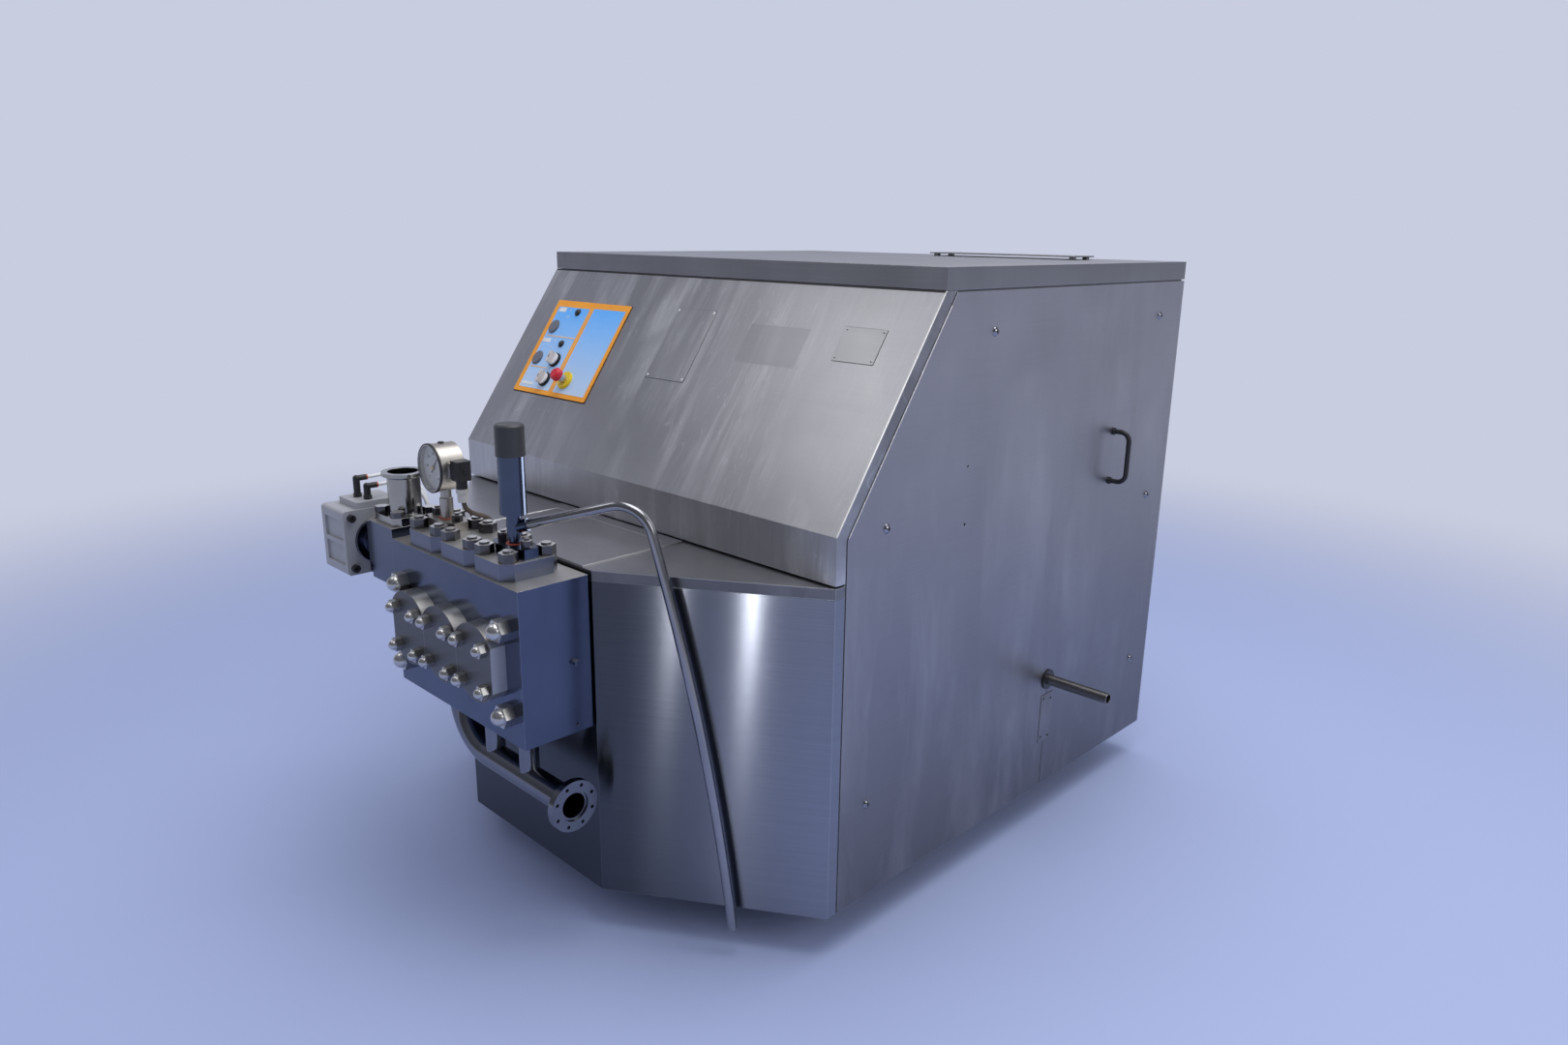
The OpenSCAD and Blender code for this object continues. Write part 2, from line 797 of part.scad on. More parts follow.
module control_panel() {
    color("orange") on_slope([panel_x, panel_s]) difference() {
        linear_extrude(plate_t) rounded_rect(panel_w, panel_h, 4);
        for (at = concat(selector_at, [estop_at]))
            translate([at[0] - panel_x, panel_s - at[1], -1]) cylinder(d = switch_hole_d, h = plate_t + 2);
    }
}

module blanking_plugs() {
    color("dimgray") for (at = blank_at) on_slope(at) translate([0, 0, plate_t]) {
        cylinder(d = collar_d, h = 2);
        cylinder(d = collar_d - 6, h = 3.5);
    }
}

module pilot_lights() {
    color("black") for (at = lamp_at) on_slope(at) translate([0, 0, plate_t]) {
        cylinder(d = 18, h = 2);
        intersection() {
            sphere(d = 15);
            cylinder(d = 14, h = 5);
        }
    }
}

module switch_collars() {
    color("gainsboro") for (at = selector_at) on_slope(at) translate([0, 0, plate_t])
        switch_collar(collar_d, knob_neck_d);
    color("gold") on_slope(estop_at) translate([0, 0, plate_t])
        switch_collar(estop_collar_d, estop_neck_d);
}

module switch_collar(d, hole) {
    difference() {
        union() {
            cylinder(d = d, h = collar_h - 2);
            cylinder(d = d - 4, h = collar_h);
        }
        translate([0, 0, -1]) cylinder(d = hole + 2 * run_fit, h = collar_h + 2);
    }
}

module selector_knob(at) {
    grip = collar_d - 6;
    bar_w = 9;
    bar_h = 12;
    color("whitesmoke") on_slope(at) translate([0, 0, plate_t]) {
        cylinder(d = knob_neck_d, h = collar_h + 1);
        translate([0, 0, collar_h + 0.4]) cylinder(d = grip, h = 4);
        translate([0, 0, collar_h + 4]) intersection() {
            translate([-bar_w / 2, -grip / 2, 0]) cube([bar_w, grip, bar_h]);
            cylinder(d = grip, h = bar_h);
        }
    }
}

module selector_knob_upper() {
    selector_knob(selector_at[0]);
}

module selector_knob_lower() {
    selector_knob(selector_at[1]);
}

module estop_button() {
    head_h = 10;
    crown_h = 4;
    color("red") on_slope(estop_at) translate([0, 0, plate_t]) {
        cylinder(d = estop_neck_d, h = estop_reach + 1);
        translate([0, 0, estop_reach]) cylinder(d = estop_d, h = head_h);
        translate([0, 0, estop_reach + head_h]) cylinder(d1 = estop_d, d2 = estop_d - 9, h = crown_h);
    }
}

module pump_block() {
    color("lightsteelblue") difference() {
        translate([block_left, block_front, block_bottom])
            cube([block_right - block_left, block_d, block_h]);
        for (x = cylinder_x) {
            translate([x, block_mid, 0]) {
                translate([0, 0, block_bottom - 1]) cylinder(d = seat_bore, h = block_h);
                translate([0, 0, chamber_bottom]) cylinder(d = chamber_d, h = seat_land - chamber_bottom);
                translate([0, 0, seat_land + seat_land_t])
                    cylinder(d = upper_chamber_d, h = block_top - seat_land);
            }
            translate([x, block_mid, plunger_z]) along_y() cylinder(d = plunger_d + 6, h = block_d);
            translate([x, block_front - 1, plunger_z]) along_y()
                cylinder(d = chamber_d - 4, h = block_d / 2);
        }
        translate([block_left - 1, block_mid, gallery_z]) along_x()
            cylinder(d = gallery_d, h = pitch * 2 + block_end + pitch / 2);
        translate([block_right - 12, block_mid + 39, block_bottom + 16]) along_x() cylinder(d = 6, h = 13);
    }
    color("lightsteelblue") translate([block_right, block_mid + 38, plunger_z - 6]) along_x() hex(12, 9);
}

module cap_plates() {
    color("lightsteelblue") for (x = cylinder_x) translate([x, cap_y, block_top])
        linear_extrude(cap_t) chamfered_square(cap_w, cap_chamfer);
}

module cap_nuts() {
    color("gainsboro") for (x = cylinder_x) translate([x, cap_y, cap_top]) square_of(cap_nut_pitch) {
        hex(cap_nut_af, cap_nut_h);
        cylinder(d = cap_nut_af * 0.62, h = cap_nut_h + 4);
    }
}

module cylinder_covers() {
    color("lightsteelblue") for (x = cylinder_x) translate([x, block_front, plunger_z]) out_front()
        linear_extrude(cover_t) intersection() {
            circle(d = cover_d, $fn = fine);
            square([cap_w, cover_d], center = true);
        }
}

module dome_nuts() {
    color("gainsboro") for (x = cylinder_x) translate([x, block_front - cover_t, plunger_z - 3]) out_front()
        square_of(cover_nut_pitch) dome_nut(cover_nut_af, 14);
    color("gainsboro") for (x = [-1, 1], z = block_nut_z)
        translate([x * block_nut_x, block_front, z]) out_front() dome_nut(block_nut_af, 20);
}

module suction_manifold() {
    bore = manifold_d - 2 * manifold_wall;
    branch_bore = branch_d - 2 * manifold_wall;
    left = cylinder_x[0] + manifold_bend;
    color("lightslategray") translate([0, block_mid, manifold_z]) difference() {
        union() {
            translate([left, 0, 0]) along_x() cylinder(d = manifold_d, h = flange_face - left, $fn = fine);
            translate([flange_face - flange_t, 0, 0]) along_x()
                cylinder(d = flange_d, h = flange_t, $fn = fine);
            manifold_elbow(manifold_d, 0);
            for (i = [1, 2]) translate([cylinder_x[i], 0, 0]) cylinder(d = branch_d, h = manifold_drop);
        }
        translate([left, 0, 0]) along_x() cylinder(d = bore, h = flange_face - left + 1, $fn = fine);
        translate([flange_face - flange_recess, 0, 0]) along_x()
            cylinder(d = flange_recess_d, h = flange_recess + 1, $fn = fine);
        manifold_elbow(bore, 1);
        for (i = [1, 2]) translate([cylinder_x[i], 0, 0]) cylinder(d = branch_bore, h = manifold_drop + 1);
        for (k = [0:flange_holes - 1]) translate([flange_face - flange_t - 1, 0, 0])
            rotate([360 * (k + 0.5) / flange_holes, 0, 0]) translate([0, flange_pcd / 2, 0]) along_x()
                cylinder(d = flange_hole_d, h = flange_t + 2);
    }
}

// Swept closed end that rises into the first cylinder
module manifold_elbow(d, past) {
    translate([cylinder_x[0] + manifold_bend, 0, manifold_bend]) rotate([90, 0, 0]) rotate([0, 0, 180])
        rotate_extrude(angle = 90, $fn = fine) translate([manifold_bend, 0]) circle(d = d);
    translate([cylinder_x[0], 0, manifold_bend])
        cylinder(d = d, h = manifold_drop - manifold_bend + past, $fn = fine);
}

module valve_housing() {
    color("lightsteelblue") difference() {
        union() {
            translate([housing_left, block_front, housing_bottom])
                cube([housing_len, block_d - 12, housing_h]);
            translate([end_plate_left, valve_y - 38, valve_z - 54]) cube([end_plate_t + 1, 90, 108]);
            translate([actuator_right, valve_y, valve_z]) along_x() {
                cylinder(d = neck_d, h = neck_len);
                cylinder(d = boss_d, h = boss_t);
            }
        }
        translate([actuator_right - 1, valve_y, valve_z]) along_x() {
            cylinder(d = rod_d + 2 * run_fit, h = neck_len + 2);
            translate([0, 0, neck_len - 30])
                cylinder(d = forcer_d + 2 * run_fit, h = forcer_len + forcer_travel + 26);
        }
        translate([outlet_x, outlet_y, valve_z]) cylinder(d = 44, h = housing_top - valve_z + 1);
        translate([outlet_x, block_mid, gallery_z]) along_x() cylinder(d = gallery_d, h = housing_len);
        translate([outlet_x + 20, valve_y, gallery_z]) along_y()
            cylinder(d = gallery_d, h = block_mid - valve_y);
    }
}

module outlet_pipe() {
    color("lightslategray") translate([outlet_x, outlet_y, housing_top]) difference() {
        union() {
            linear_extrude(outlet_flange_t) chamfered_square(housing_len - 2, outlet_chamfer);
            cylinder(d = outlet_d, h = outlet_flange_t + outlet_h, $fn = fine);
            translate([0, 0, outlet_flange_t + outlet_h - ferrule_t])
                cylinder(d = ferrule_d, h = ferrule_t, $fn = fine);
            translate([0, 0, outlet_flange_t + outlet_h - ferrule_t - 5])
                cylinder(d1 = outlet_d, d2 = ferrule_d, h = 5, $fn = fine);
        }
        translate([0, 0, -1])
            cylinder(d = outlet_d - 2 * outlet_wall, h = outlet_flange_t + outlet_h + 2, $fn = fine);
    }
}

module flange_fasteners() {
    color("gainsboro") {
        translate([outlet_x, outlet_y, outlet_flange_top]) for (x = [-1, 1], y = [-1, 1])
            translate([x * outlet_bolt, y * outlet_bolt, 0]) hex(cap_nut_af - 6, cap_nut_h - 6);
        for (at = [[gauge_x, gauge_y], [relief_x, relief_y]], x = [-1, 1])
            translate([at[0] + x * pad_bolt, at[1], pad_top]) {
                hex(18, 13);
                cylinder(d = 10, h = 17);
            }
    }
}

module valve_forcer() {
    color("silver") translate([actuator_right, valve_y, valve_z]) along_x() {
        translate([0, 0, -actuator_len + actuator_wall + 8])
            cylinder(d = actuator_bore - 2 * run_fit, h = 22);
        translate([0, 0, -actuator_len + actuator_wall + 8])
            cylinder(d = rod_d, h = actuator_len - actuator_wall - 8 + neck_len - 24);
        translate([0, 0, neck_len - 25]) cylinder(d = forcer_d, h = forcer_len);
    }
}

module actuator_housing() {
    mid = actuator_left + actuator_len / 2;
    edge = 8;
    window_w = actuator_len - 24;
    window_h = actuator_w / 2 - 26;
    color("ivory") difference() {
        union() {
            translate([actuator_left, valve_y, valve_z]) along_x() linear_extrude(actuator_len)
                rounded_rect(actuator_w, actuator_w, edge);
            translate([mid + 8, valve_y + 6, actuator_top - 1]) linear_extrude(pad_raise + 1)
                rounded_rect(actuator_len - 20, actuator_w - 50, 4);
        }
        translate([actuator_left + actuator_wall, valve_y, valve_z]) along_x()
            cylinder(d = actuator_bore, h = actuator_len - 2 * actuator_wall, $fn = fine);
        translate([actuator_right - actuator_wall - 1, valve_y, valve_z]) along_x()
            cylinder(d = rod_d + 1, h = actuator_wall + 2);
        for (z = [-1, 1]) translate([mid - window_w / 2 + 2, valve_y - actuator_w / 2 - 1,
            valve_z + z * (window_h / 2 + 5) - window_h / 2]) cube([window_w, 6, window_h]);
    }
}

module actuator_bolts() {
    color("dimgray") translate([actuator_right, valve_y, valve_z]) along_x()
        square_of(actuator_w - 30) difference() {
            cylinder(d = 16, h = 10);
            translate([0, 0, 4]) hex(8, 7);
        }
}

// Elbow fitting: threaded foot, swivel body and push-in collar towards the rear
module air_elbow(foot, exit) {
    body_d = 14;
    translate([exit[0], foot[1], foot[2]]) {
        hex(15, 8);
        translate([0, 0, 8]) cylinder(d = body_d, h = exit[2] - foot[2] - 8);
        translate([0, 0, exit[2] - foot[2]]) sphere(d = body_d);
        translate([0, 0, exit[2] - foot[2]]) along_y() cylinder(d = 12, h = exit[1] - foot[1]);
    }
}

module air_fittings() {
    color("darkslategray") {
        for (route = hose_routes)
            air_elbow([route[0][0], route[0][1] - 20, actuator_top + pad_raise], route[0]);
        chamfer_places() {
            translate([0, 0, -10]) cylinder(d = 15, h = 11);
            translate([0, 0, 0.5]) hex(20, 6);
            translate([0, 0, 6]) cylinder(d = 14, h = 8);
        }
    }
}

module air_hoses() {
    color("white") for (route = hose_routes) swept_tube(route, hose_d, [1, 0.1, 0.1]);
}

// Gauge frame: +Z out of the dial, +Y up
module on_gauge() {
    translate([gauge_x, gauge_y, gauge_z]) rotate([0, 0, -gauge_turn]) rotate([90, 0, 0])
        translate([0, 0, gauge_front]) children();
}

module gauge_case() {
    color("silver") {
        on_gauge() {
            difference() {
                union() {
                    translate([0, 0, -gauge_depth])
                        cylinder(d = gauge_d - 2, h = gauge_depth - 6, $fn = fine);
                    translate([0, 0, -8]) cylinder(d = gauge_d, h = 8, $fn = fine);
                    translate([0, -plug_w / 2, -plug_back - gauge_front - plug_w / 2])
                        cube([plug_pad, plug_w, plug_w]);
                }
                translate([0, 0, -dial_recess])
                    cylinder(d = gauge_d - 2 * bezel_w, h = dial_recess + 1, $fn = fine);
            }
            translate([0, 0, -dial_recess - 1]) cylinder(d = arbor_d, h = 6);
        }
        translate([gauge_x, gauge_y, cap_top]) {
            lobed_flange(pad_t);
            cylinder(d = stem_d, h = pad_t + 40);
            translate([0, 0, pad_t + 39]) hex(18, gauge_rise - pad_t - 39 - gauge_d / 2 + 6);
        }
    }
}

module gauge_dial() {
    color("white") on_gauge() translate([0, 0, -dial_recess]) difference() {
        cylinder(d = gauge_d - 2 * bezel_w - 1, h = dial_t, $fn = fine);
        translate([0, 0, -1]) cylinder(d = arbor_d + 1, h = dial_t + 2);
    }
}

module gauge_glass() {
    color("lightcyan") on_gauge() translate([0, 0, -glass_t - 1])
        cylinder(d = gauge_d - 2 * bezel_w - 0.6, h = glass_t, $fn = fine);
}

module gauge_pointer() {
    tip = gauge_d / 2 - bezel_w - 8;
    color("black") on_gauge() translate([0, 0, -dial_recess + dial_t + 0.4]) difference() {
        union() {
            cylinder(d = 9, h = 3);
            rotate([0, 0, -pointer_rest]) linear_extrude(pointer_t)
                polygon([[-2, -14], [2, -14], [1.6, 6], [0.4, tip], [-0.4, tip], [-1.6, 6]]);
        }
        translate([0, 0, -1]) cylinder(d = arbor_d + 2 * run_fit, h = 6);
    }
}

module gauge_plug() {
    screw_d = 8;
    nut_h = 8;
    gland_h = 18;
    color("black") on_gauge() translate([plug_pad, plug_low, -plug_back - gauge_front]) {
        translate([plug_w / 2, 0, 0]) along_y() linear_extrude(plug_h) chamfered_square(plug_w, 4);
        translate([plug_w - 1, plug_h / 2, 0]) along_x() cylinder(d = screw_d, h = 3);
        translate([plug_w / 2, 0, 0]) rotate([90, 0, 0]) {
            translate([0, 0, -1]) cylinder(d = plug_neck_d, h = plug_neck + 1);
            translate([0, 0, plug_neck - 1]) hex(plug_gland_d + 1, nut_h);
            translate([0, 0, plug_neck + nut_h - 2]) difference() {
                cylinder(d = plug_gland_d, h = gland_h);
                translate([0, 0, 4]) cylinder(d = cable_d + 2, h = gland_h);
            }
        }
    }
}

module gauge_cable() {
    color("dimgray") swept_tube(cable_route, cable_d, [0.6, 0.3, 0.7]);
}

// Frame of the discharge tube: +X along its upper leg, from the relief valve's axis
module on_tube() {
    translate([relief_x, relief_y, tube_z]) rotate([0, 0, tube_heading]) rotate([0, -tube_climb, 0])
        children();
}

module relief_valve() {
    color("lightsteelblue") {
        translate([relief_x, relief_y, cap_top]) {
            lobed_flange(pad_t);
            cylinder(d = relief_neck_d - 7, h = pad_t + 16);
            translate([0, 0, pad_t + 14]) cylinder(d = relief_neck_d, h = relief_foot - pad_t - 13);
            translate([0, 0, relief_foot]) cylinder(d = relief_d, h = relief_len, $fn = fine);
        }
        on_tube() along_x() cylinder(d = tube_d + 5, h = tube_socket);
    }
}

module relief_cap() {
    color("dimgray") translate([relief_x, relief_y, relief_top]) {
        cylinder(d = relief_d + 4, h = relief_cap_h - 3, $fn = fine);
        translate([0, 0, relief_cap_h - 3])
            cylinder(d1 = relief_d + 4, d2 = relief_d - 2, h = 3, $fn = fine);
    }
}

module relief_tube() {
    color("silver") on_tube() {
        translate([tube_socket, 0, 0]) along_x()
            tube(tube_d, tube_wall, tube_upper - tube_bend - tube_socket);
        translate([tube_upper - tube_bend, 0, -tube_bend]) tube_arc(tube_bend, 90);
        translate([tube_upper - leg_radius, 0, -tube_bend]) tube_arc(leg_radius, -leg_turn);
    }
}

// Bent length of the tube in the X-Z plane, from +X on, turning towards +Z
module tube_arc(radius, turn) {
    rotate([90, 0, 0]) rotate_extrude(angle = turn, $fn = fine) translate([radius, 0]) difference() {
        circle(d = tube_d);
        circle(d = tube_d - 2 * tube_wall);
    }
}

module packing_glands() {
    color("silver") for (x = cylinder_x) translate([x, block_back, plunger_z]) along_y() difference() {
        union() {
            cylinder(d = gland_d, h = gland_len - 12);
            hex(gland_d - 8, gland_len);
        }
        translate([0, 0, -1]) cylinder(d = plunger_d + 2 * run_fit, h = gland_len + 2);
    }
}

module plunger(i) {
    inner = block_mid + 14;
    joint = case_front - 74;
    color("whitesmoke") translate([cylinder_x[i], plunger_shift(i), plunger_z]) {
        translate([0, inner, 0]) along_y() cylinder(d = plunger_d, h = joint - inner);
        translate([0, joint - 1, 0]) along_y() cylinder(d = plunger_d + 20, h = 26);
        translate([0, joint + 24, 0]) along_y() cylinder(d = guide_d, h = 110);
    }
}

module plunger_1() {
    plunger(0);
}

module plunger_2() {
    plunger(1);
}

module plunger_3() {
    plunger(2);
}

// Poppet valve: disc on its seat, guide skirt in the seat's bore
module poppet(i, seat_z, disc_d, skirt, stem) {
    color("silver") translate([cylinder_x[i], block_mid, seat_z]) {
        cylinder(d = disc_d, h = 10);
        cylinder(d = 14, h = stem);
        translate([0, 0, -skirt]) difference() {
            cylinder(d = seat_bore - 2 * run_fit, h = skirt + 1);
            translate([0, 0, -1]) cylinder(d = seat_bore - 8, h = skirt + 1);
        }
    }
}

module suction_valve(i) {
    poppet(i, chamber_bottom, chamber_d - 8, 20, 22);
}

module discharge_valve(i) {
    seat_z = seat_land + seat_land_t;
    poppet(i, seat_z, upper_chamber_d - 8, seat_land_t, block_top - seat_z - valve_lift);
}

module suction_valve_1() {
    suction_valve(0);
}

module suction_valve_2() {
    suction_valve(1);
}

module suction_valve_3() {
    suction_valve(2);
}

module discharge_valve_1() {
    discharge_valve(0);
}

module discharge_valve_2() {
    discharge_valve(1);
}

module discharge_valve_3() {
    discharge_valve(2);
}

module crankcase() {
    color("slategray") difference() {
        union() {
            translate([-case_x, case_front, frame_top])
                cube([2 * case_x, case_back - case_front, case_top - 60 - frame_top]);
            translate([-case_x + 20, case_front + 30, frame_top])
                cube([2 * case_x - 40, case_back - case_front - 60, case_top - frame_top]);
            translate([-case_x - 30, case_front + 40, frame_top])
                cube([2 * case_x + 60, case_back - case_front - 80, 30]);
            both_sides() translate([case_x, crank_y, crank_z]) along_x()
                cylinder(d = bearing_d, h = bearing_t);
            for (x = [-1, 1], z = block_nut_z) translate([x * block_nut_x, block_back, z]) along_y()
                cylinder(d = 50, h = case_front - block_back + 1);
        }
        translate([-cavity_x, crank_y, crank_z]) along_x()
            cylinder(d = cavity_d, h = 2 * cavity_x, $fn = fine);
        translate([-case_x - bearing_t - 1, crank_y, crank_z]) along_x()
            cylinder(d = shaft_d + 2 * run_fit, h = 2 * case_x + 2 * bearing_t + 2);
        for (x = cylinder_x) translate([x, case_front - 1, plunger_z]) along_y()
            cylinder(d = guide_d + 2 * run_fit, h = crank_y - case_front);
    }
}

module crankshaft() {
    end_web = 1.5 * pitch;
    left_end = case_x + bearing_t - 4;
    color("silver") translate([0, crank_y, crank_z]) {
        translate([-left_end, 0, 0]) along_x() cylinder(d = shaft_d, h = left_end - end_web);
        translate([end_web, 0, 0]) along_x() cylinder(d = shaft_d, h = pulley_x + pulley_w - end_web);
        for (i = [0:2]) rotate([phase[i] + 180, 0, 0])
            translate([cylinder_x[i] - pitch / 2, throw, 0]) along_x() cylinder(d = pin_d, h = pitch);
        for (x = [-1.5, -0.5, 0.5, 1.5]) translate([x * pitch - web_t / 2, 0, 0]) along_x()
            cylinder(d = web_d, h = web_t);
    }
}

module v_pulley(d, bore) {
    root = d / 2 - belt_h - 2;
    mouth = d / 2 + 1;
    color("dimgray") difference() {
        cylinder(d = d, h = pulley_w, $fn = fine);
        for (k = [0:belts - 1]) translate([0, 0, 2.5 + groove * k]) rotate_extrude($fn = fine)
            polygon([[root, 5], [mouth, 1.5], [mouth, groove - 1.5], [root, groove - 5]]);
        translate([0, 0, -1]) cylinder(d = bore, h = pulley_w + 2);
    }
}

module drive_pulley() {
    web = 24;
    difference() {
        translate([pulley_x, crank_y, crank_z]) along_x() v_pulley(pulley_d, shaft_d);
        translate([pulley_x + web, crank_y, crank_z]) along_x() difference() {
            cylinder(d = pulley_d - 90, h = pulley_w, $fn = fine);
            translate([0, 0, -1]) cylinder(d = shaft_d + 70, h = pulley_w + 2);
        }
    }
}

module motor_pulley() {
    translate([pulley_x, motor_y, motor_z]) along_x() {
        v_pulley(motor_pulley_d, motor_shaft_d - 2);
        color("silver") translate([0, 0, motor_right - pulley_x - 40])
            cylinder(d = motor_shaft_d, h = pulley_x + pulley_w - motor_right + 40);
    }
}

module motor() {
    left = motor_right - motor_len;
    color("steelblue") difference() {
        union() {
            translate([left, motor_y, motor_z]) along_x()
                cylinder(d = motor_d - 30, h = motor_len, $fn = fine);
            translate([left, motor_y, motor_z]) along_x() cylinder(d = motor_d, h = 110, $fn = fine);
            translate([motor_right - 40, motor_y, motor_z]) along_x()
                cylinder(d = motor_d, h = 30, $fn = fine);
            for (k = [0:23]) translate([left + 108, motor_y, motor_z]) rotate([15 * k, 0, 0])
                translate([0, motor_d / 2 - 30, -2]) cube([motor_len - 146, 26, 4]);
            translate([left + 130, motor_y - 150, frame_top]) cube([300, 300, 24]);
            translate([left + 150, motor_y - 110, frame_top]) cube([260, 220, 120]);
            translate([left + 200, motor_y - 70, motor_z + motor_d / 2 - 40]) cube([170, 140, 90]);
        }
        translate([motor_right - 45, motor_y, motor_z]) along_x()
            cylinder(d = motor_shaft_d + 2 * run_fit, h = 50);
    }
}

module drive_belts() {
    rest = 0.4;
    big = pulley_d / 2 - belt_h + rest;
    small = motor_pulley_d / 2 - belt_h + rest;
    color("black") for (k = [0:belts - 1]) translate([pulley_x + 2.5 + groove * k + groove / 2, 0, 0])
        rotate([90, 0, 90]) linear_extrude(belt_w, center = true) difference() {
            belt_loop(big + belt_h + 1, small + belt_h + 1);
            belt_loop(big, small);
        }
}

// Line of a belt round both pulleys, drawn as (y, z)
module belt_loop(big, small) {
    sides = 72;
    grow = 1 / cos(180 / sides);
    hull() {
        translate([crank_y, crank_z]) circle(r = big * grow, $fn = sides);
        translate([motor_y, motor_z]) circle(r = small * grow, $fn = sides);
    }
}

base_frame();
machine_feet();
front_casing();
front_deck();
plunger_cover();
hood();
side_panel_left();
side_panel_right();
rear_panel();
top_lid();
lid_vent();
panel_screws();
side_handles();
drain_stub();
control_panel();
blanking_plugs();
pilot_lights();
switch_collars();
selector_knob_upper();
selector_knob_lower();
estop_button();
pump_block();
cap_plates();
cap_nuts();
cylinder_covers();
dome_nuts();
suction_manifold();
valve_housing();
outlet_pipe();
flange_fasteners();
valve_forcer();
actuator_housing();
actuator_bolts();
air_fittings();
air_hoses();
gauge_case();
gauge_dial();
gauge_glass();
gauge_pointer();
gauge_plug();
gauge_cable();
relief_valve();
relief_cap();
relief_tube();
packing_glands();
plunger_1();
plunger_2();
plunger_3();
suction_valve_1();
suction_valve_2();
suction_valve_3();
discharge_valve_1();
discharge_valve_2();
discharge_valve_3();
crankcase();
crankshaft();
drive_pulley();
motor();
motor_pulley();
drive_belts();
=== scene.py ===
"""Looks of the dairy homogenizer: camera, light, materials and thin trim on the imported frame."""
import json
import math

import bmesh
import bpy
from mathutils import Matrix, Vector


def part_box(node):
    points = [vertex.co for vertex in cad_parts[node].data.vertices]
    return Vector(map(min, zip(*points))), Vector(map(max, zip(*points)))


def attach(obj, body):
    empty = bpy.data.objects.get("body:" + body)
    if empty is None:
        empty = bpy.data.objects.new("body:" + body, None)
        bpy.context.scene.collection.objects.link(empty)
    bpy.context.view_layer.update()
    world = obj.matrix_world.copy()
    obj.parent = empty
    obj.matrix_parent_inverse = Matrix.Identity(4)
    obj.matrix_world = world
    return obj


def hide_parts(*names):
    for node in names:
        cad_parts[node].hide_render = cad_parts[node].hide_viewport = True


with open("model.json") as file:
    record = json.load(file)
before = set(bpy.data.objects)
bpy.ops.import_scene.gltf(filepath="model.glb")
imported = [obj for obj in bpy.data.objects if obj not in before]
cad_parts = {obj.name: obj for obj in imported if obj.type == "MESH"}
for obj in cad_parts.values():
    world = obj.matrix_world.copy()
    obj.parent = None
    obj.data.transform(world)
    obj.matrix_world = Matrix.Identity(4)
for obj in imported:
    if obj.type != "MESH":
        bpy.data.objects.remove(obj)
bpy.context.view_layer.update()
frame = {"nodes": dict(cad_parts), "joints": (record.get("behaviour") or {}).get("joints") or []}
nodes = frame["nodes"]
joints = {j["name"]: j for j in frame["joints"]}

MM = 0.001
ROOT = "machine"
X_AXIS = (1.0, 0.0, 0.0)
Y_AXIS = (0.0, 1.0, 0.0)
UPRIGHT = (0.0, 0.0, 1.0)

# Camera of the photograph: place in metres, angles in degrees, lens on a 36 mm wide sensor
CAMERA_AT = Vector((1.7466, -1.7930, 1.3168))
CAMERA_AZIMUTH = 44.267
CAMERA_ELEVATION = 15.160
CAMERA_ROLL = 0.786
CAMERA_LENS = 24.69
SENSOR_WIDTH = 36.0
SIGHT_END = 100.0


def make_camera():
    azimuth = math.radians(CAMERA_AZIMUTH)
    elevation = math.radians(CAMERA_ELEVATION)
    roll = math.radians(CAMERA_ROLL)
    level = math.cos(elevation)
    back = Vector((math.sin(azimuth) * level, -math.cos(azimuth) * level, math.sin(elevation)))
    right = Vector((math.cos(azimuth), math.sin(azimuth), 0.0))
    up = back.cross(right)
    side = math.cos(roll) * right + math.sin(roll) * up
    top = math.cos(roll) * up - math.sin(roll) * right
    data = bpy.data.cameras.new("camera")
    data.sensor_fit = "HORIZONTAL"
    data.sensor_width = SENSOR_WIDTH
    data.lens = CAMERA_LENS
    data.clip_end = SIGHT_END
    camera = bpy.data.objects.new("camera", data)
    bpy.context.scene.collection.objects.link(camera)
    camera.matrix_world = Matrix.Translation(CAMERA_AT) @ Matrix((side, top, back)).transposed().to_4x4()
    bpy.context.scene.camera = camera


make_camera()


# Places taken from the frame: the sloped hood, with X across it, the right side and the gauge's dial
SLOPE_OUT = -Vector(joints["stop_press"]["axis"])
SLOPE_DOWN = Vector((0.0, -SLOPE_OUT.z, SLOPE_OUT.y))
SLOPE_TOP = Vector((0.0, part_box("top_lid")[0].y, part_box("hood")[1].z))
SLOPE_LEVEL = SLOPE_TOP.dot(SLOPE_OUT)
HOOD_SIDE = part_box("hood")[1].x
SIDE_LOW, SIDE_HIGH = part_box("side_panel_right")
COVER_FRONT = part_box("cylinder_covers")[0].y
DIAL_OUT = Vector(joints["pointer_turn"]["axis"])
DIAL_AT = Vector(joints["pointer_turn"]["pos_m"])

# Heights above the hood's sheet: the control panel's face, and where the controls change colour
PANEL_SKIN = 2.0 * MM
KNOB_FACE = PANEL_SKIN + 10.5 * MM
STOP_HEAD = PANEL_SKIN + 23.8 * MM
# The stop button's collar lies to the right of this, the selectors' rings to the left
COLLAR_PARTING = -375.0 * MM
# The gauge plug's gland hangs below this height
GLAND_TOP = 842.5 * MM
# The drain's dark ring ends here, and its bright pipe goes on
STUB_RING = SIDE_HIGH.x + 3.4 * MM


# Shader helpers

# Sockets of the mix node for its amount, its two colours and the mixed colour
MIX_AMOUNT = 0
MIX_FIRST = 6
MIX_SECOND = 7
MIX_RESULT = 2
# Middle of a noise field, and the values between which most of it lies
NOISE_MIDDLE = 0.5
NOISE_SPAN = (0.3, 0.7)
# Cosines between the rounded and the flat normal where an edge is brightest and where it ends
EDGE_SPAN = (0.80, 0.995)
BEVEL_SAMPLES = 4


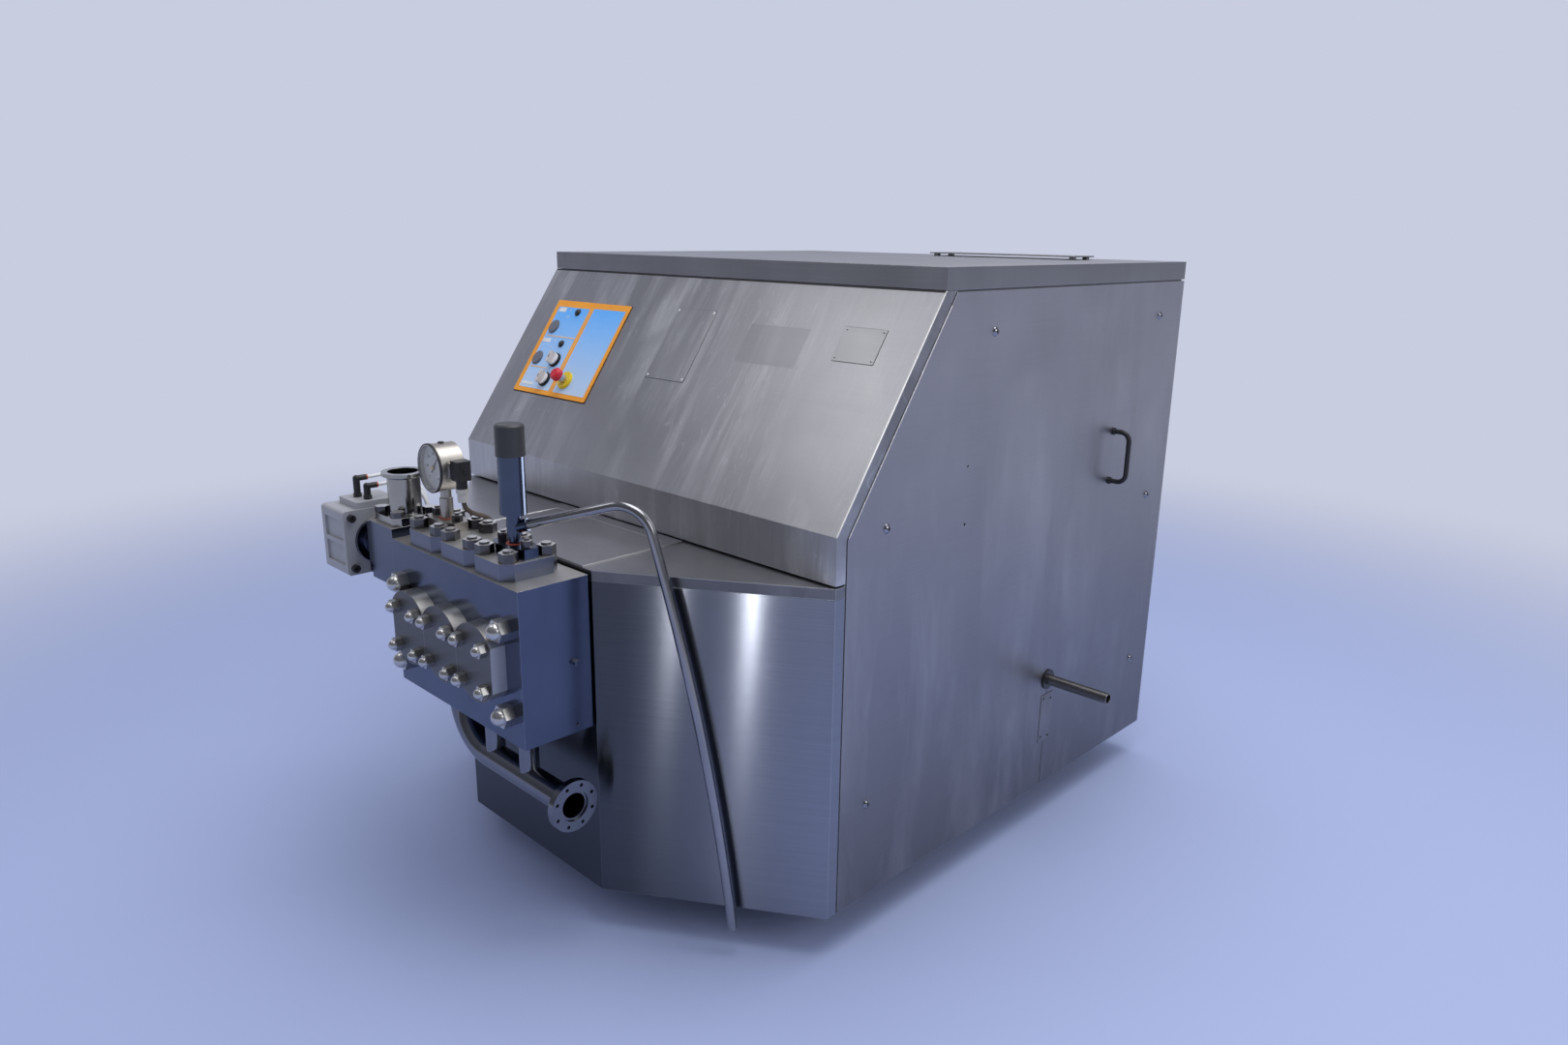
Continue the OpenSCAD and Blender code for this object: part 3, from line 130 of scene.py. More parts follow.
def new_material(name):
    material = bpy.data.materials.new(name)
    material.use_nodes = True
    return material, material.node_tree, material.node_tree.nodes["Principled BSDF"]


def put(tree, node, inputs):
    """Links each named or numbered input to a socket, or sets its constant."""
    for key, value in inputs.items():
        if isinstance(value, bpy.types.NodeSocket):
            tree.links.new(value, node.inputs[key])
        else:
            node.inputs[key].default_value = value


def add(tree, kind, inputs=None, **settings):
    node = tree.nodes.new(kind)
    for key, value in settings.items():
        setattr(node, key, value)
    put(tree, node, inputs or {})
    return node


def place_of(tree):
    """Place on the piece at rest, in metres of the shared frame."""
    return add(tree, "ShaderNodeTexCoord").outputs["Object"]


def axis_of(tree, vector, letter):
    return add(tree, "ShaderNodeSeparateXYZ", {"Vector": vector}).outputs[letter]


def dot(tree, a, b):
    return add(tree, "ShaderNodeVectorMath", {0: a, 1: b}, operation="DOT_PRODUCT").outputs["Value"]


def math_of(tree, operation, a, b=0.0, limit=False):
    return add(tree, "ShaderNodeMath", {0: a, 1: b}, operation=operation, use_clamp=limit).outputs[0]


def plus(tree, a, b):
    return math_of(tree, "ADD", a, b)


def times(tree, a, b):
    return math_of(tree, "MULTIPLY", a, b)


def remap(tree, value, low, high, start=0.0, end=1.0, ease="LINEAR"):
    """Value that goes from low to high while another goes from start to end."""
    inputs = {"Value": value, "From Min": start, "From Max": end, "To Min": low, "To Max": high}
    return add(tree, "ShaderNodeMapRange", inputs, interpolation_type=ease).outputs[0]


def mixed(tree, amount, a, b):
    inputs = {MIX_AMOUNT: amount, MIX_FIRST: a, MIX_SECOND: b}
    return add(tree, "ShaderNodeMix", inputs, data_type="RGBA").outputs[MIX_RESULT]


def noise(tree, scale, detail=3.0, rough=0.5, warp=0.0, stretch=(1, 1, 1)):
    """Noise field over the piece, stretched by a scale per axis."""
    spread = add(tree, "ShaderNodeMapping", {"Vector": place_of(tree), "Scale": stretch})
    inputs = {"Vector": spread.outputs[0], "Scale": scale, "Detail": detail, "Roughness": rough,
              "Distortion": warp}
    return add(tree, "ShaderNodeTexNoise", inputs).outputs[0]


def thin_lines(tree, scale, width, warp, stretch=(1, 1, 1)):
    """Curved hairlines: the places where a noise field crosses its middle value."""
    field = noise(tree, scale, detail=1.0, warp=warp, stretch=stretch)
    off = math_of(tree, "ABSOLUTE", math_of(tree, "SUBTRACT", field, NOISE_MIDDLE))
    return remap(tree, off, 1.0, 0.0, 0.0, width)


def edge_mask(tree, radius):
    """Rounded normal, and a mask that is bright where it leans away from the flat one."""
    rounded = add(tree, "ShaderNodeBevel", {"Radius": radius}, samples=BEVEL_SAMPLES).outputs[0]
    flat = add(tree, "ShaderNodeNewGeometry").outputs["Normal"]
    return rounded, remap(tree, dot(tree, rounded, flat), 1.0, 0.0, *EDGE_SPAN)


def bumped(tree, height, strength, distance, normal):
    inputs = {"Height": height, "Strength": strength, "Distance": distance, "Normal": normal}
    return add(tree, "ShaderNodeBump", inputs).outputs[0]


def rgb(red, green, blue):
    return (red, green, blue, 1.0)


def scaled(colour, factor):
    return tuple(min(1.0, c * factor) for c in colour[:3]) + (1.0,)


# Materials

# Noise fields of the finishes
CLOUDS = {"scale": 2.3, "detail": 6.0, "rough": 0.62, "warp": 0.7}
SMEARS = {"scale": 1.0, "detail": 4.0, "rough": 0.6, "warp": 0.4, "stretch": (3.0, 3.0, 0.9)}
RUBBED = {"scale": 1.0, "detail": 5.0, "rough": 0.62, "warp": 0.25}
WIPED_AREAS = {"scale": 3.1, "detail": 3.0, "warp": 0.5}
STAINS = {"scale": 9.0, "detail": 5.0, "rough": 0.55, "warp": 0.4}
PAINT_TONE = {"scale": 7.0, "detail": 5.0, "rough": 0.6, "warp": 0.5}
TWO_TONE_GRAIN = {"scale": 260.0, "detail": 4.0}
DUST = {"scale": 60.0, "detail": 4.0, "rough": 0.6}
SMUDGES = {"scale": 70.0, "detail": 5.0, "rough": 0.7}

# Rounding of edges: folded sheet, paint, machined pieces, and small ones
SHEET_ROUND = 1.6 * MM
PAINT_ROUND = 1.2 * MM
TURNED_ROUND = 0.8 * MM
FINE_ROUND = 0.5 * MM

# Brushed sheet: spans of its fields, their shares in its tone, wipe marks, scratches, grain, and the
# painted highlight on its edges
CLOUD_SPAN = (0.25, 0.75)
RUBBED_SPAN = (0.46, 0.68)
WIPED_SPAN = (0.36, 0.62)
CLOUD_SHARE = 0.6
SMEAR_SHARE = 0.4
WIPE_COLOUR = rgb(0.80, 0.80, 0.82)
WIPE_ROUGH = 0.15
SCRATCH_WIDTH = 0.012
SCRATCH_WARP = 0.4
SCRATCH_STRETCH = 3.0
GRAIN_TONE = 0.72
GRAIN_BUMP = (0.05, 0.2 * MM)
SHEET_EDGE_HIGHLIGHT = rgb(0.85, 0.85, 0.86)
SHEET_EDGE_HIGHLIGHT_SHARE = 0.6
FULL_SHADE = rgb(0.0, 0.0, 0.0)

# Polished steel: stains, hairlines, the lighter tones painted on faces that point up as painted light, and
# the painted highlight on edges
STAIN_DEPTH = 0.10
STAIN_ROUGH = (0.9, 1.12)
HAIR_SCALE = 30.0
HAIR_WIDTH = 0.010
HAIR_WARP = 0.6
HAIR_ROUGH = 0.02
UPWARD_SPAN = (0.75, 0.95)
LIT_TOP_TONES = (0.92, 1.06)
POLISHED_EDGE_HIGHLIGHT = rgb(0.84, 0.84, 0.85)
POLISHED_EDGE_HIGHLIGHT_SHARE = 0.5

# Paint and print: tones, edges, how far the roughness varies, depth of the grit, and dust
PAINT_TONES = (0.88, 1.1)
PAINT_EDGE = rgb(0.75, 0.75, 0.75)
PAINT_VARY = 0.08
PAINT_GRIT = 0.6 * MM
PRINT_VARY = 0.06
DUST_COLOUR = rgb(0.8, 0.8, 0.8)
DUST_SHARE = 0.10
TWO_TONE_BUMP = (0.05, 0.4 * MM)

GLASS_TINT = rgb(0.97, 0.98, 0.98)
GLASS_ROUGH = (0.02, 0.10)
GLASS_INDEX = 1.30


def shaded(tree, colour, axis, first, last, dark_first, dark_last):
    """Painted shade: colour darkened along an axis, by a share at each of two places; along X on both sides
    alike.
    """
    along = axis_of(tree, place_of(tree), axis)
    if axis == "X":
        along = math_of(tree, "ABSOLUTE", along)
    return mixed(tree, remap(tree, along, dark_first, dark_last, first, last), colour, FULL_SHADE)


def wipe_marks(tree, amount, stretch, scratches):
    """Mask of long wipe marks in some areas, with curved scratches among them."""
    marks = remap(tree, noise(tree, **RUBBED, stretch=stretch), 0.0, 1.0, *RUBBED_SPAN)
    areas = remap(tree, noise(tree, **WIPED_AREAS), 0.0, 1.0, *WIPED_SPAN)
    if scratches:
        finer = tuple(SCRATCH_STRETCH * s for s in stretch)
        lines = thin_lines(tree, 1.0, SCRATCH_WIDTH, SCRATCH_WARP, stretch=finer)
        marks = plus(tree, marks, times(tree, lines, scratches))
    return math_of(tree, "MULTIPLY", times(tree, marks, areas), amount, limit=True)


def brushed_steel(name, colour, rough, grain, streak, clouds=0.10, wipes=0.0, wipe_stretch=(6.0, 6.0, 1.5),
                  scratches=0.0, anisotropy=0.55, edge=SHEET_ROUND, vary=0.05, grain_depth=0.4, shade=None):
    """Brushed sheet: fine grain, cloudy tone, long wipe marks, and edges lightened as a painted highlight.

    grain stretches the brush lines, wipe_stretch the wipe marks, and streak is the way that
    highlights run. shade darkens the colour along an axis, as painted shade: its letter, two
    places in metres, and the dark share at each.
    """
    material, tree, shader = new_material(name)
    fine = noise(tree, 1.0, detail=2.0, stretch=grain)
    cloud = noise(tree, **CLOUDS)
    smear = noise(tree, **SMEARS)
    tone = plus(tree, remap(tree, cloud, 0.0, CLOUD_SHARE, *CLOUD_SPAN),
                remap(tree, smear, 0.0, SMEAR_SHARE, *NOISE_SPAN))
    base = mixed(tree, tone, scaled(colour, 1.0 - clouds), scaled(colour, 1.0 + clouds))
    base = mixed(tree, remap(tree, fine, 0.0, grain_depth, *NOISE_SPAN), base, scaled(colour, GRAIN_TONE))
    roughness = plus(tree, remap(tree, fine, rough - vary, rough + vary),
                     remap(tree, cloud, -vary, vary, *NOISE_SPAN))
    # Painted shade along an axis
    if shade:
        base = shaded(tree, base, *shade)
    if wipes:
        marks = wipe_marks(tree, wipes, wipe_stretch, scratches)
        base = mixed(tree, marks, base, WIPE_COLOUR)
        roughness = plus(tree, roughness, times(tree, marks, WIPE_ROUGH))
    normal, edges = edge_mask(tree, edge)
    # Painted highlight: edges lightened in colour
    base = mixed(tree, times(tree, edges, SHEET_EDGE_HIGHLIGHT_SHARE), base, SHEET_EDGE_HIGHLIGHT)
    tangent = add(tree, "ShaderNodeCombineXYZ", dict(zip("XYZ", streak))).outputs[0]
    put(tree, shader, {
        "Base Color": base, "Roughness": roughness, "Normal": bumped(tree, fine, *GRAIN_BUMP, normal),
        "Metallic": 1.0, "Anisotropic": anisotropy, "Tangent": tangent})
    return material


def polished_steel(name, colour, rough, edge=TURNED_ROUND, top=None):
    """Polished steel: faint stains, fine wipe hairlines and, where edge is given, rounded edges lightened
    as a painted highlight.

    top is the colour and roughness of faces that point up; their lighter colour is painted light.
    """
    material, tree, shader = new_material(name)
    stains = noise(tree, **STAINS)
    hairs = thin_lines(tree, HAIR_SCALE, HAIR_WIDTH, HAIR_WARP)
    tone = remap(tree, stains, 0.0, 1.0, *NOISE_SPAN)
    base = mixed(tree, tone, scaled(colour, 1.0 - STAIN_DEPTH), scaled(colour, 1.0 + STAIN_DEPTH))
    stain_rough = remap(tree, stains, rough * STAIN_ROUGH[0], rough * STAIN_ROUGH[1], *NOISE_SPAN)
    roughness = plus(tree, stain_rough, times(tree, hairs, HAIR_ROUGH))
    # Painted light: faces that point up get a lighter colour, and a roughness of their own
    if top:
        lit_top_colour, top_rough = top
        facing = add(tree, "ShaderNodeNewGeometry").outputs["Normal"]
        upward = remap(tree, axis_of(tree, facing, "Z"), 0.0, 1.0, *UPWARD_SPAN)
        lit_top_tint = mixed(tree, tone, *(scaled(lit_top_colour, factor) for factor in LIT_TOP_TONES))
        base = mixed(tree, upward, base, lit_top_tint)
        roughness = plus(tree, roughness, times(tree, upward, top_rough - rough))
    if edge:
        normal, edges = edge_mask(tree, edge)
        # Painted highlight: edges lightened in colour
        base = mixed(tree, times(tree, edges, POLISHED_EDGE_HIGHLIGHT_SHARE), base, POLISHED_EDGE_HIGHLIGHT)
        put(tree, shader, {"Normal": normal})
    put(tree, shader, {"Base Color": base, "Roughness": roughness, "Metallic": 1.0})
    return material


def painted(name, colour, rough, grit=140.0, depth=0.15, wear=0.08, metallic=0.0):
    """Paint, casting or moulded plastic: fine grit, uneven tone and worn edges."""
    material, tree, shader = new_material(name)
    grain = noise(tree, grit, detail=4.0)
    tone = remap(tree, noise(tree, **PAINT_TONE), 0.0, 1.0, *NOISE_SPAN)
    base = mixed(tree, tone, *(scaled(colour, factor) for factor in PAINT_TONES))
    normal, edges = edge_mask(tree, PAINT_ROUND)
    put(tree, shader, {
        "Base Color": mixed(tree, times(tree, edges, wear), base, PAINT_EDGE),
        "Roughness": remap(tree, grain, rough - PAINT_VARY, rough + PAINT_VARY),
        "Normal": bumped(tree, grain, depth, PAINT_GRIT, normal), "Metallic": metallic})
    return material


def graded(name, low, high, low_z, high_z, rough):
    """Print that pales from top to bottom, with a faint dust film."""
    material, tree, shader = new_material(name)
    height = axis_of(tree, place_of(tree), "Z")
    dust = noise(tree, **DUST)
    tint = mixed(tree, remap(tree, height, 0.0, 1.0, low_z, high_z), low, high)
    put(tree, shader, {
        "Base Color": mixed(tree, remap(tree, dust, 0.0, DUST_SHARE), tint, DUST_COLOUR),
        "Roughness": remap(tree, dust, rough - PRINT_VARY, rough + PRINT_VARY)})
    return material


def two_tone(name, axis, parting, below, above, rough=0.35):
    """Two paints on one piece, parted where the place along an axis, in metres, passes a value.

    below and above are a colour and a share of metal each.
    """
    material, tree, shader = new_material(name)
    beyond = math_of(tree, "GREATER_THAN", dot(tree, place_of(tree), axis), parting)
    grain = noise(tree, **TWO_TONE_GRAIN)
    normal, _ = edge_mask(tree, TURNED_ROUND)
    put(tree, shader, {
        "Base Color": mixed(tree, beyond, below[0], above[0]),
        "Metallic": remap(tree, beyond, below[1], above[1]),
        "Roughness": remap(tree, grain, rough - PRINT_VARY, rough + PRINT_VARY),
        "Normal": bumped(tree, grain, *TWO_TONE_BUMP, normal)})
    return material


def clear_glass(name):
    material, tree, shader = new_material(name)
    smudge = noise(tree, **SMUDGES)
    put(tree, shader, {
        "Base Color": GLASS_TINT, "Roughness": remap(tree, smudge, *GLASS_ROUGH),
        "Transmission Weight": 1.0, "IOR": GLASS_INDEX})
    return material


# Stretch per axis of brush lines, level round upright sheets or along X on the others
LEVEL_GRAIN = (5.0, 5.0, 900.0)
LONG_GRAIN = (5.0, 900.0, 900.0)
# Stretch per axis of the hood's wipe marks, which run down the slope
HOOD_WIPES = (17.0, 2.2, 2.2)
# Ways that highlights run; the deck's and the lid's run along their tops and up their rims
DECK_STREAK = (0.0, 0.35, 0.94)
LID_STREAK = (0.0, 0.80, 0.60)
COVER_STREAK = (0.30, 0.95, 0.0)
# Painted shade: the side darker towards its foot, the front sheet towards its middle, and the deck's rim,
# the hood's folded side and the covers' fronts darker than the faces beside
DECK_TOP = 729.7 * MM
RIM_FOLD = 1.5 * MM
EDGE_STEP = 0.8 * MM
SIDE_SHADE = ("Z", 0.10, 1.15, 0.60, 0.0)
FRONT_SHADE = ("X", 0.28, 0.58, 0.68, 0.0)
DECK_SHADE = ("Z", DECK_TOP, DECK_TOP - RIM_FOLD, 0.0, 0.62)
HOOD_SHADE = ("X", HOOD_SIDE - EDGE_STEP, HOOD_SIDE - EDGE_STEP / 4, 0.0, 0.42)
COVER_SHADE = ("Y", COVER_FRONT + EDGE_STEP / 4, COVER_FRONT + EDGE_STEP, 0.72, 0.0)

mat_side = brushed_steel(
    "side_sheet", rgb(0.47, 0.47, 0.52), 0.42, LEVEL_GRAIN, UPRIGHT, clouds=0.16, wipes=0.25,
    grain_depth=0.15, shade=SIDE_SHADE)
mat_hood = brushed_steel(
    "hood_sheet", rgb(0.51, 0.51, 0.535), 0.39, LONG_GRAIN, SLOPE_DOWN, clouds=0.20, wipes=1.0,
    wipe_stretch=HOOD_WIPES, scratches=0.5, vary=0.04, grain_depth=0.12, shade=HOOD_SHADE)
# The front sheet's colour is steel darkened and tinted blue, a painted reflection of a dark blue floor
mat_front = brushed_steel(
    "front_sheet", rgb(0.29, 0.305, 0.35), 0.19, LEVEL_GRAIN, UPRIGHT, clouds=0.08, anisotropy=1.0,
    vary=0.015, shade=FRONT_SHADE)
mat_deck = brushed_steel(
    "deck_sheet", rgb(0.50, 0.50, 0.52), 0.34, LONG_GRAIN, DECK_STREAK, clouds=0.12, wipes=0.25,
    anisotropy=0.4, shade=DECK_SHADE)
mat_lid = brushed_steel(
    "lid_sheet", rgb(0.38, 0.38, 0.40), 0.38, LONG_GRAIN, LID_STREAK, clouds=0.12, wipes=0.15)
mat_plate = brushed_steel(
    "plate_aluminium", rgb(0.53, 0.53, 0.55), 0.42, LONG_GRAIN, SLOPE_DOWN, clouds=0.06,
    grain_depth=0.15, edge=FINE_ROUND)
mat_patch = brushed_steel(
    "wiped_patch", rgb(0.46, 0.46, 0.485), 0.41, LONG_GRAIN, SLOPE_DOWN, clouds=0.20, wipes=0.35,
    wipe_stretch=HOOD_WIPES, vary=0.04, grain_depth=0.12)
mat_cover = brushed_steel(
    "cover_turned", rgb(0.56, 0.555, 0.55), 0.36, LEVEL_GRAIN, COVER_STREAK, clouds=0.06,
    anisotropy=0.7, edge=TURNED_ROUND, grain_depth=0.15, shade=COVER_SHADE)
# Painted highlight for the bright edge pieces
mat_edge_highlight = brushed_steel(
    "edge_highlight", rgb(0.95, 0.95, 0.95), 0.32, LONG_GRAIN, SLOPE_DOWN, clouds=0.02, anisotropy=0.8,
    grain_depth=0.05)

# The block's, cap plates' and relief valve's colours are steel darkened and tinted blue, a painted
# reflection of a dark blue floor
mat_block = polished_steel("block_polish", rgb(0.10, 0.12, 0.18), 0.18, top=(rgb(0.60, 0.59, 0.575), 0.45))
mat_cap_plate = polished_steel(
    "cap_plate_polish", rgb(0.16, 0.175, 0.235), 0.30, top=(rgb(0.62, 0.61, 0.60), 0.45))
mat_nut = polished_steel(
    "nut_polish", rgb(0.105, 0.105, 0.115), 0.24, edge=FINE_ROUND, top=(rgb(0.85, 0.84, 0.83), 0.40))
mat_dome = polished_steel(
    "dome_polish", rgb(0.56, 0.555, 0.55), 0.28, edge=FINE_ROUND, top=(rgb(0.90, 0.89, 0.87), 0.36))
mat_pipe = polished_steel("pipe_polish", rgb(0.20, 0.21, 0.24), 0.20, edge=0.0)
mat_outlet = polished_steel("outlet_polish", rgb(0.33, 0.325, 0.32), 0.16)
mat_relief = polished_steel("relief_polish", rgb(0.075, 0.095, 0.15), 0.18, edge=0.0)
mat_tube = polished_steel("tube_polish", rgb(0.31, 0.31, 0.33), 0.22, edge=0.0)
mat_screw = polished_steel("screw_polish", rgb(0.30, 0.31, 0.35), 0.10)
mat_bright = polished_steel("bright_screw", rgb(0.95, 0.95, 0.95), 0.45, edge=0.0)
mat_turned = polished_steel("turned_steel", rgb(0.45, 0.45, 0.46), 0.28)
mat_gauge = polished_steel("gauge_steel", rgb(0.50, 0.475, 0.445), 0.42)

mat_cast = painted("actuator_cast", rgb(0.36, 0.365, 0.38), 0.48, grit=220.0, depth=0.22, wear=0.2)
mat_dark = painted("dark_metal", rgb(0.045, 0.045, 0.05), 0.45, metallic=0.6)
mat_frame = painted("frame_paint", rgb(0.16, 0.17, 0.18), 0.5)
mat_motor = painted("motor_paint", rgb(0.10, 0.20, 0.32), 0.45)
mat_iron = painted("cast_paint", rgb(0.24, 0.26, 0.29), 0.5, depth=0.3)
mat_pulley = painted("pulley_iron", rgb(0.09, 0.09, 0.10), 0.5, metallic=0.5)
mat_black = painted("black_plastic", rgb(0.016, 0.016, 0.017), 0.42, grit=300.0, depth=0.08, wear=0.03)
mat_grey = painted("grey_plastic", rgb(0.15, 0.16, 0.19), 0.45, grit=260.0, depth=0.10, wear=0.05)
mat_cap = painted("cap_plastic", rgb(0.036, 0.037, 0.041), 0.45, grit=260.0, depth=0.10, wear=0.05)
mat_white = painted("white_print", rgb(0.78, 0.78, 0.76), 0.4, grit=200.0, depth=0.02, wear=0.0)
mat_ceramic = painted("ceramic", rgb(0.80, 0.80, 0.77), 0.18, depth=0.02, wear=0.0)
mat_hose = painted("hose_white", rgb(0.72, 0.73, 0.73), 0.4, depth=0.03, wear=0.0)
mat_cable = painted("cable_sheath", rgb(0.10, 0.075, 0.06), 0.55, depth=0.1, wear=0.0)
mat_belt = painted("belt_rubber", rgb(0.02, 0.02, 0.02), 0.7, depth=0.25, wear=0.0)
mat_gasket = painted("gasket_red", rgb(0.46, 0.08, 0.04), 0.55, wear=0.0)
mat_orange = painted("panel_orange", rgb(1.0, 0.37, 0.02), 0.38, grit=200.0, depth=0.02, wear=0.03)
mat_pale_orange = painted("pale_orange", rgb(0.85, 0.52, 0.25), 0.4, grit=200.0, depth=0.02, wear=0.0)
mat_gold = painted("hub_gold", rgb(0.62, 0.42, 0.12), 0.35, depth=0.02, wear=0.0, metallic=0.7)
mat_glass = clear_glass("gauge_glass")

# Paints of the two-tone pieces: colour and share of metal
WHITE_FACE = (rgb(0.78, 0.78, 0.78), 0.0)
PALE_GRIP = (rgb(0.62, 0.59, 0.57), 0.0)
BLACK_GRIP = (rgb(0.014, 0.014, 0.015), 0.0)
PALE_GLAND = (rgb(0.50, 0.49, 0.46), 0.0)
STOP_STEM = (rgb(0.55, 0.55, 0.55), 1.0)
STOP_RED = (rgb(0.62, 0.02, 0.04), 0.0)
STOP_YELLOW = (rgb(0.85, 0.60, 0.02), 0.0)
STUB_STEEL = (rgb(0.30, 0.29, 0.28), 1.0)
mat_knob = two_tone("selector_knob", SLOPE_OUT, SLOPE_LEVEL + KNOB_FACE, WHITE_FACE, PALE_GRIP)
mat_stop = two_tone("stop_button", SLOPE_OUT, SLOPE_LEVEL + STOP_HEAD, STOP_STEM, STOP_RED, rough=0.28)
mat_collar = two_tone("switch_collars", X_AXIS, COLLAR_PARTING, BLACK_GRIP, STOP_YELLOW)
mat_stub = two_tone("drain_stub", X_AXIS, STUB_RING, BLACK_GRIP, STUB_STEEL, rough=0.3)
mat_plug = two_tone("gauge_plug", UPRIGHT, GLAND_TOP, PALE_GLAND, BLACK_GRIP, rough=0.4)

NODE_MATERIALS = {
    mat_side: ["side_panel_left", "side_panel_right", "rear_panel"],
    mat_hood: ["hood"],
    mat_front: ["front_casing"],
    mat_deck: ["front_deck", "plunger_cover"],
    mat_lid: ["top_lid", "lid_vent"],
    mat_block: ["pump_block", "valve_housing"],
    mat_cover: ["cylinder_covers"],
    mat_cap_plate: ["cap_plates"],
    mat_nut: ["cap_nuts", "flange_fasteners"],
    mat_dome: ["dome_nuts"],
    mat_screw: ["panel_screws"],
    mat_pipe: ["suction_manifold"],
    mat_outlet: ["outlet_pipe"],
    mat_relief: ["relief_valve"],
    mat_tube: ["relief_tube", "machine_feet"],
    mat_turned: ["valve_forcer", "packing_glands", "crankshaft", "suction_valve_1", "suction_valve_2",
                 "suction_valve_3", "discharge_valve_1", "discharge_valve_2", "discharge_valve_3"],
    mat_gauge: ["gauge_case"],
    mat_cast: ["actuator_housing"],
    mat_dark: ["actuator_bolts"],
    mat_stub: ["drain_stub"],
    mat_frame: ["base_frame"],
    mat_motor: ["motor"],
    mat_iron: ["crankcase"],
    mat_pulley: ["drive_pulley", "motor_pulley"],
    mat_black: ["side_handles", "pilot_lights", "gauge_pointer", "air_fittings"],
    mat_knob: ["selector_knob_upper", "selector_knob_lower"],
    mat_plug: ["gauge_plug"],
    mat_grey: ["blanking_plugs"],
    mat_cap: ["relief_cap"],
    mat_stop: ["estop_button"],
    mat_white: ["gauge_dial"],
    mat_ceramic: ["plunger_1", "plunger_2", "plunger_3"],
    mat_hose: ["air_hoses"],
    mat_cable: ["gauge_cable"],
    mat_belt: ["drive_belts"],
    mat_orange: ["control_panel"],
    mat_collar: ["switch_collars"],
    mat_glass: ["gauge_glass"],
}

for material, names in NODE_MATERIALS.items():
    for name in names:
        nodes[name].data.materials.clear()
        nodes[name].data.materials.append(material)


# Pieces: meshes built in a local frame and set down with a matrix

SHARP_ANGLE = math.radians(24)
DOUBLES = 1e-6
# Matrix of pieces whose parts are in place already
AS_BUILT = Matrix.Identity(4)


def piece(name, built, place, material, body=ROOT):
    """Puts a built mesh into the scene, riding on a body."""
    mesh = bpy.data.meshes.new(name)
    built.transform(place)
    built.normal_update()
    built.to_mesh(mesh)
    built.free()
    mesh.materials.append(material)
    mesh.shade_smooth()
    mesh.set_sharp_from_angle(angle=SHARP_ANGLE)
    thing = bpy.data.objects.new(name, mesh)
    bpy.context.scene.collection.objects.link(thing)
    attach(thing, body)


def rounded_plate(width, height, thick, radius, steps=5, bevel=0.0):
    """Plate in X and Y with rounded corners, standing on Z = 0."""
    built = bmesh.new()
    outline = []
    for corner, (sx, sy) in enumerate(((1, 1), (-1, 1), (-1, -1), (1, -1))):
        for k in range(steps + 1):
            turn = math.pi / 2 * (corner + k / steps)
            outline.append(built.verts.new((
                sx * (width / 2 - radius) + radius * math.cos(turn),
                sy * (height / 2 - radius) + radius * math.sin(turn), 0.0)))
    base = built.faces.new(outline)
    raised = bmesh.ops.extrude_face_region(built, geom=[base])
    top = [v for v in raised["geom"] if isinstance(v, bmesh.types.BMVert)]
    bmesh.ops.translate(built, vec=(0.0, 0.0, thick), verts=top)
    if bevel:
        rim = [e for e in built.edges if all(v in top for v in e.verts)]
        bmesh.ops.bevel(built, geom=rim, offset=bevel, segments=2, affect="EDGES", profile=0.5)
    bmesh.ops.recalc_face_normals(built, faces=built.faces[:])
    return built


def lathe(profile, facets):
    """Surface of revolution about Z from (radius, height) points."""
    built = bmesh.new()
    line = [built.verts.new((r, 0.0, z)) for r, z in profile]
    edges = [built.edges.new(pair) for pair in zip(line, line[1:])]
    bmesh.ops.spin(built, geom=line + edges, axis=(0, 0, 1), cent=(0, 0, 0), angle=2 * math.pi,
                   steps=facets)
    bmesh.ops.remove_doubles(built, verts=built.verts[:], dist=DOUBLES)
    bmesh.ops.recalc_face_normals(built, faces=built.faces[:])
    return built


def button_head(radius, crown_radius, heights):
    """Low domed head, with the heights of its crown, shoulder and rim."""
    crown, shoulder, rim = heights
    profile = [(0.0, crown), (crown_radius, shoulder), (radius, rim), (radius, 0.0), (0.0, 0.0)]
    return lathe(profile, facets=16)


def washer(inner, outer, thick, facets):
    profile = [(inner, 0.0), (outer, 0.0), (outer, thick), (inner, thick), (inner, 0.0)]
    return lathe(profile, facets)


def joined(parts):
    """One mesh from (mesh, matrix) pairs."""
    whole = bmesh.new()
    for built, place in parts:
        built.transform(place)
        spare = bpy.data.meshes.new("spare")
        built.to_mesh(spare)
        built.free()
        whole.from_mesh(spare)
        bpy.data.meshes.remove(spare)
    return whole


def frame_of(origin, x_axis, z_axis):
    x_axis = Vector(x_axis).normalized()
    z_axis = Vector(z_axis).normalized()
    y_axis = z_axis.cross(x_axis)
    return Matrix.Translation(origin) @ Matrix((x_axis, y_axis, z_axis)).transposed().to_4x4()


def on_slope(x, down, out=0.0):
    """Frame on the hood: X across, Y up the slope, Z out of the sheet; x and down in millimetres."""
    origin = SLOPE_TOP + SLOPE_DOWN * (down * MM) + SLOPE_OUT * out
    return frame_of(origin + Vector((x * MM, 0, 0)), X_AXIS, SLOPE_OUT)


def on_side(y, z, out=0.0):
    """Frame on the right side: X to the back, Y up, Z out of the sheet; y and z in millimetres."""
    return frame_of((SIDE_HIGH.x + out, y * MM, z * MM), Y_AXIS, X_AXIS)


def size_of(field):
    """Width and height, in metres, of a field of four places in millimetres."""
    return (field[1] - field[0]) * MM, (field[3] - field[2]) * MM


def middle_of(field):
    return (field[0] + field[1]) / 2, (field[2] + field[3]) / 2


